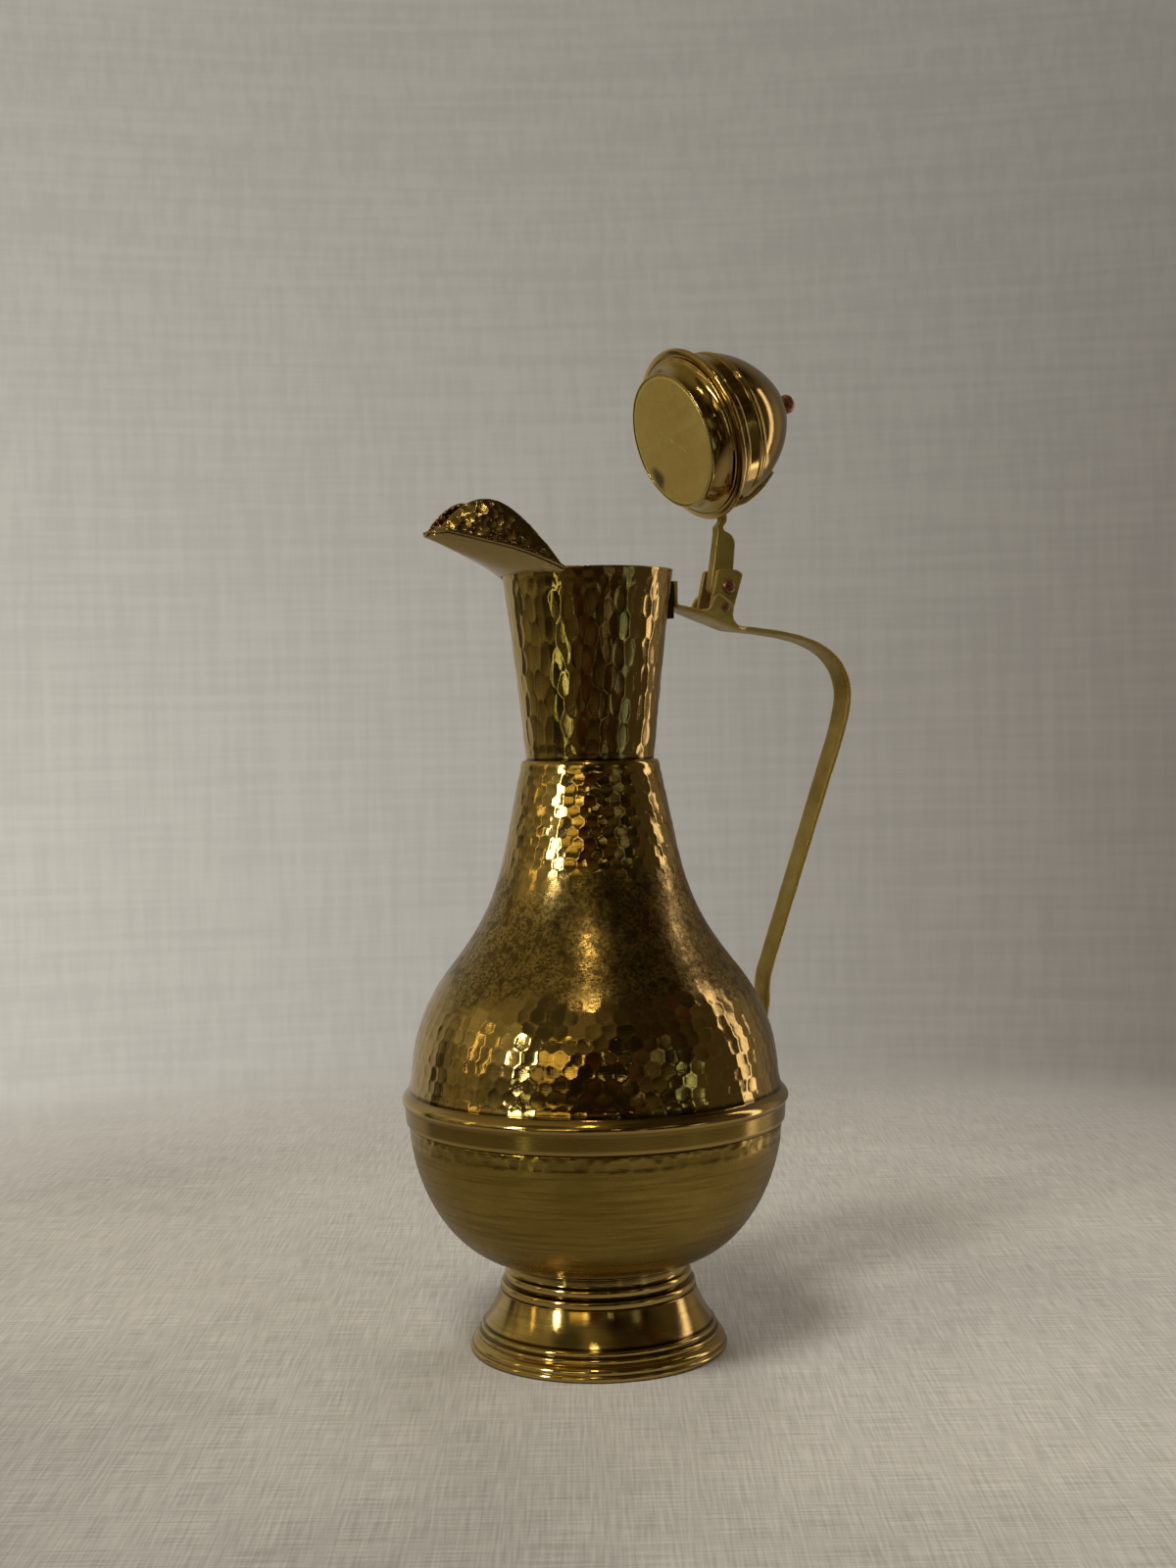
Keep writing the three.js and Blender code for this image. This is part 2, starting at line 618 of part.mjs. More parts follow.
// A plate between the vessel and an end of the strap, hollowed to the vessel's curve.
function pad(profile, tabX, zLow, zHigh, rivetZ, rivetPitch) {
  const face = tabX - STRAP_THICKNESS / 2 - SEAT_GAP;
  const depth = 3 * PAD_THICKNESS;
  const block = new THREE.BoxGeometry(depth, STRAP_WIDTH_HIGH, zHigh - zLow);
  block.translate(face - depth / 2, 0, (zLow + zHigh) / 2);
  return cut(block, blank(profile, SEAT_GAP), ...rivetHoles(rivetZ, rivetPitch, tabX));
}

// A rivet at an end of the handle, from inside the vessel's wall to the strap's outer face.
function handleRivet(profile, tabX, z) {
  const inside = radiusAt(profile, z) - WALL * 1.3 - SEAT_GAP;
  const outside = tabX + STRAP_THICKNESS / 2 + SEAT_GAP;
  return rivet(RIVET_RADIUS, RIVET_HEAD_RADIUS, RIVET_HEAD_HEIGHT, inside, outside);
}

// Hinge

function crossRivetPlace() {
  return new THREE.Vector3(CROSS_RIVET_U, 0, CROSS_RIVET_V);
}

function earShape() {
  const floor = SEAT_GAP;
  const shape = new THREE.Shape();
  shape.moveTo(EAR_FRONT + 1.2, floor);
  shape.lineTo(EAR_BACK, floor);
  shape.lineTo(EAR_BACK, EAR_HEIGHT - 1);
  shape.quadraticCurveTo(EAR_BACK - 0.4, EAR_HEIGHT - 0.1, EAR_BACK - 3.2, EAR_HEIGHT);
  shape.lineTo(EAR_FRONT + 0.6, EAR_HEIGHT - 2.2);
  shape.quadraticCurveTo(EAR_FRONT - 0.3, EAR_HEIGHT - 2.6, EAR_FRONT - 0.2, EAR_HEIGHT - 3.4);
  return shape;
}

// A folded channel: a floor on the handle's arm, and an ear up each side of the lid's tongue.
function hingeBracket() {
  const outer = EAR_SPAN / 2;
  const floor = new THREE.BoxGeometry(EAR_BACK - EAR_FRONT - 1.2, EAR_SPAN - 1, EAR_THICKNESS);
  floor.translate((EAR_BACK + EAR_FRONT + 1.2) / 2, 0, SEAT_GAP + EAR_THICKNESS / 2);
  const near = plate(earShape(), -outer, -outer + EAR_THICKNESS);
  const far = plate(earShape(), outer - EAR_THICKNESS, outer);
  return cut(
    join(near, far, floor),
    rod(PIN_RADIUS + SEAT_GAP, 2 * EAR_SPAN, 'y', pinInBracket),
    rod(RIVET_RADIUS + SEAT_GAP, 2 * EAR_SPAN, 'y', crossRivetPlace()),
  );
}

// A pin or rivet along Y with a domed head at each end.
function crossPin(radius, headRadius, headHeight, span) {
  const half = span / 2 + SEAT_GAP;
  return rivet(radius, headRadius, headHeight, -half, half).rotateZ(Math.PI / 2);
}

// Lid, all in the closed position, with heights from the flange's underside

function domeProfile() {
  const path = new THREE.Path();
  const edge = FLANGE_THICKNESS;
  path.moveTo(flangeRadius - 0.6, 0);
  path.lineTo(flangeRadius, edge * 0.3);
  path.lineTo(flangeRadius, edge * 0.7);
  path.lineTo(flangeRadius - 0.6, edge);
  path.lineTo(DOME_RADIUS + 2.2, edge + 0.4);
  path.quadraticCurveTo(DOME_RADIUS + 0.2, edge + 0.8, DOME_RADIUS, edge + 3.2);
  bead(path, DOME_RADIUS, 1.4);
  path.lineTo(DOME_RADIUS, 10.6);
  bead(path, DOME_RADIUS, 1.3);
  bead(path, DOME_RADIUS - 0.1, 1.3);
  path.lineTo(DOME_RADIUS - 0.4, DOME_SPRING_H);
  path.bezierCurveTo(
    DOME_RADIUS - 2.2, DOME_SPRING_H + 11.2,
    11, DOME_TOP_H,
    FINIAL_STUD_RADIUS + SEAT_GAP, DOME_TOP_H,
  );
  return path;
}

function lidDome() {
  const outer = domeProfile().getPoints(INNER_STEPS);
  const crown = outer.slice(-INNER_STEPS - 1);
  const inner = offset(crown, DOME_WALL).reverse();
  inner[0] = v2(crown[INNER_STEPS].x, DOME_TOP_H - DOME_WALL);
  const bore = DOME_RADIUS - DOME_WALL;
  return turn([...outer, ...inner, v2(bore, DOME_SPRING_H - 2), v2(bore, 0), outer[0].clone()]);
}

const mouthRadius = RIM_RADIUS - WALL;

function lidPlug() {
  const lip = mouthRadius - PLUG_CLEARANCE;
  const top = -SEAT_GAP;
  const path = new THREE.Path();
  path.moveTo(PLUG_RADIUS - 0.3, -PLUG_DEPTH);
  path.lineTo(PLUG_RADIUS, -PLUG_DEPTH + 0.4);
  path.bezierCurveTo(PLUG_RADIUS + 0.2, -4.4, PLUG_RADIUS + 1.2, -1.6, lip, top - 0.5);
  path.lineTo(lip, top);
  const outer = path.getPoints(5);
  const bore = PLUG_RADIUS - PLUG_WALL;
  return turn([...outer, v2(bore, top), v2(bore, -PLUG_DEPTH), outer[0].clone()]);
}

function lidPlugDisc() {
  const radius = PLUG_RADIUS - PLUG_WALL - SEAT_GAP;
  const geometry = new THREE.CylinderGeometry(radius, radius, DISC_THICKNESS, ROUND_STEPS);
  return geometry.rotateX(Math.PI / 2).translate(0, 0, -PLUG_DEPTH + DISC_THICKNESS / 2);
}

// A spool-shaped knob whose stud passes through the dome and is spread inside it.
function lidFinial() {
  const base = DOME_TOP_H + SEAT_GAP;
  const top = base + FINIAL_HEIGHT;
  const under = DOME_TOP_H - DOME_WALL - SEAT_GAP;
  const waist = base + FINIAL_HEIGHT * 0.42;
  const path = new THREE.Path();
  path.moveTo(0, under - 0.9);
  path.lineTo(FINIAL_STUD_RADIUS + 0.9, under - 0.9);
  path.lineTo(FINIAL_STUD_RADIUS + 0.9, under);
  path.lineTo(FINIAL_STUD_RADIUS, under);
  path.lineTo(FINIAL_STUD_RADIUS, base);
  path.lineTo(FINIAL_RADIUS - 0.5, base);
  path.quadraticCurveTo(FINIAL_RADIUS + 0.1, base + 1.4, FINIAL_RADIUS - 1.3, waist);
  path.quadraticCurveTo(FINIAL_RADIUS - 0.9, waist + 0.7, FINIAL_RADIUS, waist + 1.2);
  path.quadraticCurveTo(FINIAL_RADIUS + 0.1, top - 0.5, FINIAL_RADIUS - 1.2, top - 0.2);
  path.lineTo(0, top);
  return turn(path.getPoints(3), SMALL_STEPS + 2);
}

// Outline of the tongue's tail, from above the flange to the pin, as (X, height).
function tongueShape(pinH) {
  const clear = FLANGE_THICKNESS + 0.4 + SEAT_GAP;
  const edge = flangeRadius + 0.6;
  const shape = new THREE.Shape();
  shape.moveTo(DOME_RADIUS + 2.6, clear);
  shape.lineTo(edge, clear);
  shape.lineTo(edge + 1.6, -0.2);
  shape.lineTo(edge + 4, -0.9);
  shape.lineTo(PIN_X - 2.8, pinH - TONGUE_BOSS_RADIUS + 0.7);
  shape.lineTo(PIN_X, pinH);
  shape.lineTo(PIN_X + 0.8, pinH + TONGUE_BOSS_RADIUS - 0.3);
  shape.lineTo(PIN_X - 4.6, pinH + TONGUE_DEPTH);
  shape.lineTo(edge + 9.6, clear + 2.4);
  shape.quadraticCurveTo(edge + 6.4, clear + 2.8, edge + 4.6, clear);
  shape.quadraticCurveTo(edge + 3, clear - 1.6, edge + 2, clear + 0.6);
  shape.quadraticCurveTo(edge + 1, clear + 2.2, edge - 1.4, clear + 2.2);
  shape.lineTo(DOME_RADIUS + 2.6, clear + 2.4);
  return shape;
}

// Outline of the strap up the back of the dome, at a bead's clearance from it.
function backStrapShape() {
  const low = FLANGE_THICKNESS + 0.4 + SEAT_GAP;
  const room = BEAD_PROUD + SEAT_GAP;
  const dome = domeProfile().getPoints(INNER_STEPS);
  const flank = [0.25, 0.4, 0.55, 0.7, 0.85, 1].map((t) => {
    const h = THREE.MathUtils.lerp(low + 1.6, BACK_STRAP_TOP_H, t);
    return v2(Math.min(radiusAt(dome, h), DOME_RADIUS), h);
  });
  const start = [v2(DOME_RADIUS + 2.3, low), v2(DOME_RADIUS, low + 2.6)];
  const inside = offset([...start, ...flank], -room);
  inside[0].y = low;
  const outside = offset(inside, -BACK_STRAP_THICKNESS).reverse();
  outside[outside.length - 1] = v2(inside[0].x + 2.4, low);
  return new THREE.Shape([...inside, ...outside].reverse());
}

function lidTongue() {
  const pinH = PIN_Z - (RIM_Z + SEAT_GAP);
  const half = TONGUE_WIDTH / 2;
  const tail = plate(tongueShape(pinH), -half, half, 4);
  const backHalf = BACK_STRAP_WIDTH / 2;
  const back = plate(backStrapShape(), -backHalf, backHalf);
  const pin = new THREE.Vector3(PIN_X, 0, pinH);
  const boss = rod(TONGUE_BOSS_RADIUS, TONGUE_WIDTH, 'y', pin);
  return cut(join(tail, back, boss), rod(PIN_RADIUS + PIN_GAP, 2 * TONGUE_WIDTH, 'y', pin));
}

// Assembly

const ewer = new THREE.Group();

function add(parent, name, geometry, material, x = 0, y = 0, z = 0) {
  const mesh = new THREE.Mesh(geometry, material);
  mesh.name = name;
  mesh.position.set(x, y, z);
  parent.add(mesh);
}

const copper = () => new THREE.MeshStandardMaterial({ color: 0x9c5a3c, roughness: 0.35, metalness: 1 });

add(ewer, 'foot', foot(), brass(0xb08a3a, 0.22));
add(ewer, 'lower_bowl', lowerBowl(), brass(0x8f7434, 0.4));
add(ewer, 'upper_body', upperBody(), brass(0xb5903c, 0.25));
add(ewer, 'neck', neck(), brass(0xb5903c, 0.22));
add(ewer, 'spout_lip', spoutLip(), brass(0xc09a3e, 0.28));

const neckPadLow = NECK_TAB_TOP_Z - NECK_TAB_LENGTH - 5.6;
const neckPad = pad(neckOuter, neckTabX, neckPadLow, NECK_TAB_TOP_Z - 0.2, NECK_RIVET_Z, NECK_RIVET_PITCH);
const bodyPad = pad(bodyOuter, bodyTabX, BAND_TOP_Z + 1, BODY_TAB_TOP_Z, BODY_RIVET_Z, BODY_RIVET_PITCH);
add(ewer, 'neck_pad', neckPad, brass(0x8f7434, 0.35));
add(ewer, 'body_pad', bodyPad, brass(0x8f7434, 0.35));
add(ewer, 'handle_strap', handleStrap(), brass(0x86702f, 0.38));

[NECK_RIVET_Z, NECK_RIVET_Z - NECK_RIVET_PITCH].forEach((z, i) => {
  add(ewer, ['neck_rivet_upper', 'neck_rivet_lower'][i], handleRivet(neckOuter, neckTabX, z), copper(), 0, 0, z);
});
[BODY_RIVET_Z, BODY_RIVET_Z - BODY_RIVET_PITCH].forEach((z, i) => {
  add(ewer, ['body_rivet_upper', 'body_rivet_lower'][i], handleRivet(bodyOuter, bodyTabX, z), copper(), 0, 0, z);
});

ewer.add(bracketFrame);
add(bracketFrame, 'hinge_bracket', hingeBracket(), brass(0x86702f, 0.35));
const crossRivet = crossPin(RIVET_RADIUS, RIVET_HEAD_RADIUS - 0.3, RIVET_HEAD_HEIGHT, cradleWidth);
add(bracketFrame, 'bracket_rivet', crossRivet, copper(), CROSS_RIVET_U, 0, CROSS_RIVET_V);
const hingePin = crossPin(PIN_RADIUS, PIN_HEAD_RADIUS, PIN_HEAD_HEIGHT, EAR_SPAN);
add(ewer, 'hinge_pin', hingePin, copper(), PIN_X, 0, PIN_Z);

// The lid turns about the pin. Its pieces are drawn closed and carried open together.
const lid = new THREE.Group();
lid.position.set(PIN_X, 0, PIN_Z);
lid.rotation.y = radians(OPEN_ANGLE);
ewer.add(lid);
const lidSeat = RIM_Z + SEAT_GAP - PIN_Z;
add(lid, 'lid_dome', lidDome(), brass(0xb5903c, 0.18), -PIN_X, 0, lidSeat);
add(lid, 'lid_plug', lidPlug(), brass(0xb5903c, 0.2), -PIN_X, 0, lidSeat);
add(lid, 'lid_plug_disc', lidPlugDisc(), brass(0x96803a, 0.55), -PIN_X, 0, lidSeat);
add(lid, 'lid_finial', lidFinial(), copper(), -PIN_X, 0, lidSeat);
add(lid, 'lid_tongue', lidTongue(), brass(0x86702f, 0.35), -PIN_X, 0, lidSeat);

export default ewer;
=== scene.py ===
import math

import bmesh
import bpy
import numpy as np
from mathutils import Matrix, Vector


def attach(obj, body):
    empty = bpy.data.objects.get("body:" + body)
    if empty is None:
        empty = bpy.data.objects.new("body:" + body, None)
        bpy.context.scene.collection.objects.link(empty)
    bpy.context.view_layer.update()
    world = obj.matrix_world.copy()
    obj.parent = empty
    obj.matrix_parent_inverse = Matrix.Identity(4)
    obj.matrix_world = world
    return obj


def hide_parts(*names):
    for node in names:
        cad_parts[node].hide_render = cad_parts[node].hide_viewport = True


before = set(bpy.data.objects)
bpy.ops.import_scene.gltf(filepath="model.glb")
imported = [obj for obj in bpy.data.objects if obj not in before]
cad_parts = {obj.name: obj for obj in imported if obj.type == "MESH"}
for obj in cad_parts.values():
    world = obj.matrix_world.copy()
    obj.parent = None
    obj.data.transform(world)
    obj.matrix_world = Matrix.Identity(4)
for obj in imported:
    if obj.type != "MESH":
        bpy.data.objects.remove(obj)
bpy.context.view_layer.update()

MM = 0.001

# Sizes in millimetres, in the part's frame: the ewer's axis is at the origin, +X is to the handle.
# AXIS is as near to the axis as profiles go, and RIDGE is a facet's highest edge.
WALL, SEAT, AXIS, LEAST_RADIUS, RIDGE = 1.2, 0.3, 0.05, 0.02, 0.02
FOOT_HEIGHT, FOOT_RADIUS, FOOT_WALL, FOOT_RING = 30.8, 45.0, 1.6, 2.4
FOOT_WAIST, FOOT_TOP, FLARE_BASE, FLARE_TOP = 34.2, 30.9, 9.7, 20.8
BELLY, BAND_EDGE, BAND_RIDGE, BAND_TOP = 67.1, 79.4, 87.4, 91.8
KNEE_R, KNEE_Z, COLLAR_R, COLLAR_Z, COLLAR_TOP = 49.6, 133.0, 24.24, 201.5, 204.3
NECK_R, NECK_Z, NECK_LOW, RIM_R, RIM_Z = 22.15, 204.5, 197.5, 29.69, 269.3
PIN = (54.8, 264.7)
OPEN_ANGLE = math.radians(72.0)
LID_SEAT = RIM_Z + SEAT
FLANGE_R, DOME_R, DOME_TOP, DOME_SPRING = 31.09, 26.7, 38.6, 13.8
PLUG_R, PLUG_DEPTH = 24.2, 7.9
STAIN_AT, STAIN_RADIUS = (38.7, 15.1, 304.8), 4.6


# ---- Camera: it stands where the photograph was taken from ----

FOCAL = 47.25
CAMERA_AT = (-346.9, -624.1, 218.7)
AZIMUTH, PITCH, ROLL = math.radians(29.0), math.radians(1.843), math.radians(-0.893)
FACING = math.radians(270) - AZIMUTH


def from_view(x, y, z):
    """A vector with x to the right of the view and y away from it, turned into the part's frame."""
    c, s = math.cos(AZIMUTH), math.sin(AZIMUTH)
    return Vector((x * c + y * s, -x * s + y * c, z))


def new_object(name, data):
    """An object that is already in the scene."""
    made = bpy.data.objects.new(name, data)
    bpy.context.scene.collection.objects.link(made)
    return made


def make_camera():
    forward = from_view(0, math.cos(PITCH), -math.sin(PITCH))
    up = from_view(0, math.sin(PITCH), math.cos(PITCH))
    right = from_view(1, 0, 0)
    x_axis = right * math.cos(ROLL) + up * math.sin(ROLL)
    y_axis = up * math.cos(ROLL) - right * math.sin(ROLL)
    data = bpy.data.cameras.new("camera")
    data.sensor_fit = "VERTICAL"
    data.sensor_height = 36
    data.lens = FOCAL
    camera = new_object("camera", data)
    turn = Matrix((x_axis, y_axis, -forward)).transposed().to_4x4()
    camera.matrix_world = Matrix.Translation(Vector(CAMERA_AT) * MM) @ turn
    bpy.context.scene.camera = camera


# ---- Outlines ----


class Outline:
    """A run of (radius, height) points, sampled finely along lines and curves."""

    def __init__(self, x, y):
        self.points = [np.array((x, y), float)]

    def line(self, x, y):
        start, end = self.points[-1], np.array((x, y), float)
        steps = max(1, int(np.linalg.norm(end - start) / 0.5))
        self.points += [start + (end - start) * i / steps for i in range(1, steps + 1)]
        return self

    def quad(self, cx, cy, x, y, steps=16):
        a, b, c = self.points[-1], np.array((cx, cy)), np.array((x, y), float)
        for t in np.arange(1, steps + 1) / steps:
            self.points.append(a * (1 - t) ** 2 + b * 2 * t * (1 - t) + c * t * t)
        return self

    def cubic(self, bx, by, cx, cy, x, y, steps=48):
        a, b, c, d = self.points[-1], np.array((bx, by)), np.array((cx, cy)), np.array((x, y), float)
        for t in np.arange(1, steps + 1) / steps:
            u = 1 - t
            self.points.append(a * u**3 + b * 3 * u * u * t + c * 3 * u * t * t + d * t**3)
        return self

    def bead(self, radius, height, proud=0.5):
        """A half-round moulding, from the run's last height up."""
        low = self.points[-1][1]
        self.points += [
            np.array((radius + proud * math.sin(a), low + height * (1 - math.cos(a)) / 2))
            for a in np.linspace(0, math.pi, 12)[1:]
        ]
        return self

    def array(self):
        return np.array(self.points)


def run_length(points):
    """How far along its run each point lies."""
    return np.concatenate(([0], np.cumsum(np.linalg.norm(np.diff(points, axis=0), axis=1))))


def resample(points, step):
    """The same run with points at an even spacing."""
    length = run_length(points)
    count = max(2, int(round(length[-1] / step)) + 1)
    at = np.linspace(0, length[-1], count)
    return np.stack([np.interp(at, length, points[:, k]) for k in range(points.shape[1])], axis=1)


def normals(points):
    """Outward normals of an upward run of (radius, height)."""
    d = np.gradient(points, axis=0)
    d /= np.maximum(np.linalg.norm(d, axis=1, keepdims=True), 1e-9)
    return np.stack([d[:, 1], -d[:, 0]], axis=1)


def lining(points, wall, step=2.5):
    """The inside of a sheet, from the top down."""
    coarse = resample(points, step)
    return (coarse - normals(coarse) * wall)[::-1]


def ramp(value, low, high):
    """0 up to low, 1 from high on and straight between. With high below low it falls instead."""
    return np.clip((value - low) / (high - low), 0, 1)


def around(columns):
    """A row of angles, once round."""
    return np.linspace(0, 2 * math.pi, columns, endpoint=False)[None, :]


# ---- Hand work: shifts of a turned surface along its normals ----


def waves(theta, along, height, seed, count=7):
    """Slow unevenness of a surface worked by hand."""
    dice = np.random.default_rng(seed)
    total = np.zeros(np.broadcast(theta, along).shape)
    for _ in range(count):
        turns, slope = dice.integers(2, 10), dice.uniform(-0.09, 0.09)
        total = total + np.sin(turns * theta + slope * along + dice.uniform(0, 6.28))
    return total * height / count


def hammered(
    rows, columns, *, width, tall, hollow, tilt, seed,
    jitter=0.16, stretch=1.0, start=0.0, steep=0.0, loose=0.1,
):
    """Depth of hammer facets over a turned surface: shallow dishes that meet in ridges.

    A facet is width by tall, a dish of radius hollow, leans by about tilt and is off by up to
    jitter. stretch draws dishes out along the run, and steep raises their rims, so that a facet is
    flat in its middle. Rows begin at start, are staggered on the side that faces the camera, and
    are off by up to loose.
    """
    dice = np.random.default_rng(seed)
    length = run_length(rows) - start
    theta = around(columns) - FACING
    along, radius = length[:, None], rows[:, :1]
    lines = int(length[-1] / tall) + 3
    middle = (np.arange(lines) - 0.5) * tall
    line_radius = np.interp(middle, length, rows[:, 0])
    cells = np.maximum(6, np.round(2 * math.pi * line_radius / width)).astype(int)
    most = cells.max()
    shift = np.arange(lines) % 2 / 2 + dice.uniform(-loose, loose, lines)
    jitter_t, jitter_s = dice.uniform(-jitter, jitter, (2, lines, most))
    lean_t, lean_s = dice.normal(0, tilt, (2, lines, most))
    sink = dice.uniform(0.85, 1.25, (lines, most))
    reach = (0.6 * width) ** 2
    base = reach / (2 * hollow) + steep * reach**2
    depth = np.full((len(rows), columns), RIDGE)
    own = np.clip(np.floor(along / tall + 1).astype(int), 0, lines - 1)
    for dj in (-1, 0, 1):
        line = np.clip(own + dj, 0, lines - 1)
        count = cells[line]
        first = np.floor(theta / (2 * math.pi) * count - shift[line]).astype(int)
        for dk in (-1, 0, 1):
            cell = first + dk
            k = cell % count
            centre = (cell + 0.5 + jitter_t[line, k] + shift[line]) * 2 * math.pi / count
            dt = (theta - centre) * radius
            ds = along - (middle[line] + jitter_s[line, k] * tall)
            off = dt**2 + (ds / stretch) ** 2
            dish = off / (2 * hollow) + steep * off**2 - base * sink[line, k]
            lean = lean_t[line, k] * dt + lean_s[line, k] * ds / stretch
            depth = np.minimum(depth, dish + lean)
    return depth


# ---- Meshes ----


def build_mesh(name, points, quads, uv=None):
    """A smooth mesh from points in millimetres and four-sided faces."""
    mesh = bpy.data.meshes.new(name)
    mesh.vertices.add(len(points))
    mesh.vertices.foreach_set("co", (points * MM).astype(np.float32).ravel())
    quads = quads.astype(np.int32)
    mesh.loops.add(quads.size)
    mesh.loops.foreach_set("vertex_index", quads.ravel())
    mesh.polygons.add(len(quads))
    mesh.polygons.foreach_set("loop_start", np.arange(0, quads.size, 4, dtype=np.int32))
    mesh.update(calc_edges=True)
    mesh.validate()
    if uv is not None and len(mesh.loops) == quads.size:
        layer = mesh.uv_layers.new(name="UVMap")
        layer.data.foreach_set("uv", (uv * MM).astype(np.float32).ravel())
    mesh.shade_smooth()
    return mesh


def revolve(rows, columns, dent=0.0, spread=64.0):
    """Points, faces and texture places of a closed profile turned about the axis.

    dent shifts each point along its normal. spread is the radius that textures are laid out for.
    """
    n = len(rows)
    theta = around(columns)[0]
    normal = normals(rows)
    radius = np.repeat(rows[:, :1], columns, axis=1) + normal[:, :1] * dent
    height = np.repeat(rows[:, 1:], columns, axis=1) + normal[:, 1:] * dent
    radius = np.maximum(radius, LEAST_RADIUS)
    points = np.stack([radius * np.cos(theta), radius * np.sin(theta), height], axis=2).reshape(-1, 3)
    i, j = np.meshgrid(np.arange(n), np.arange(columns), indexing="ij")
    i2, j2 = (i + 1) % n, (j + 1) % columns
    corners = [i * columns + j, i * columns + j2, i2 * columns + j2, i2 * columns + j]
    length = run_length(rows)
    length = np.append(length, length[-1] + np.linalg.norm(rows[0] - rows[-1]))
    u0, u1 = spread * 2 * math.pi * j / columns, spread * 2 * math.pi * (j + 1) / columns
    v0, v1 = length[i], length[i + 1]
    uv = np.stack([u0, v0, u1, v0, u1, v1, u0, v1], axis=2)
    return points, np.stack(corners, axis=2).reshape(-1, 4), uv.reshape(-1, 2)


def prism(outline, low, high):
    """A flat plate from an outline in X and Z, between two places on Y."""
    n = len(outline)
    points = [(x, low, z) for x, z in outline] + [(x, high, z) for x, z in outline]
    faces = [tuple(range(n)), tuple(range(2 * n - 1, n - 1, -1))]
    faces += [(i, n + i, n + (i + 1) % n, (i + 1) % n) for i in range(n)]
    return points, faces


def loft(rings):
    """A closed skin over rings of points."""
    rings = np.asarray(rings)
    count, size = rings.shape[:2]
    faces = []
    for r in range(count - 1):
        for i in range(size):
            a, b = r * size + i, r * size + (i + 1) % size
            faces.append((a, b, b + size, a + size))
    faces.append(tuple(range(size - 1, -1, -1)))
    faces.append(tuple((count - 1) * size + i for i in range(size)))
    return [tuple(p) for p in rings.reshape(-1, 3)], faces


def rough_piece(name, points, faces):
    """An object from points in millimetres, with all faces turned outwards."""
    mesh = bpy.data.meshes.new(name)
    mesh.from_pydata([(x * MM, y * MM, z * MM) for x, y, z in points], [], faces)
    shape = bmesh.new()
    shape.from_mesh(mesh)
    bmesh.ops.recalc_face_normals(shape, faces=shape.faces)
    shape.to_mesh(mesh)
    shape.free()
    return new_object(name, mesh)


def apply_modifiers(piece):
    graph = bpy.context.evaluated_depsgraph_get()
    mesh = bpy.data.meshes.new_from_object(piece.evaluated_get(graph))
    piece.modifiers.clear()
    piece.data = mesh
    mesh.shade_smooth()
    return mesh


def soften(piece, voxel, rounds):
    """Makes one skin of all that a piece holds, with rounded edges."""
    remesh = piece.modifiers.new("remesh", "REMESH")
    remesh.mode = "VOXEL"
    remesh.voxel_size = voxel * MM
    smooth = piece.modifiers.new("smooth", "SMOOTH")
    smooth.factor = 0.5
    smooth.iterations = rounds
    return apply_modifiers(piece)


def dress(piece, material, body, node):
    piece.data.materials.clear()
    piece.data.materials.append(material)
    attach(piece, body)
    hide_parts(node)


def forged(name, parts, voxel, rounds, body, node):
    """Joins plates and lofts into one piece of strap brass with softly rounded edges."""
    points, faces = [], []
    for part_points, part_faces in parts:
        base = len(points)
        points += list(part_points)
        faces += [tuple(base + i for i in face) for face in part_faces]
    piece = rough_piece(name, points, faces)
    soften(piece, voxel, rounds)
    dress(piece, strap_metal, body, node)


# ---- Materials ----


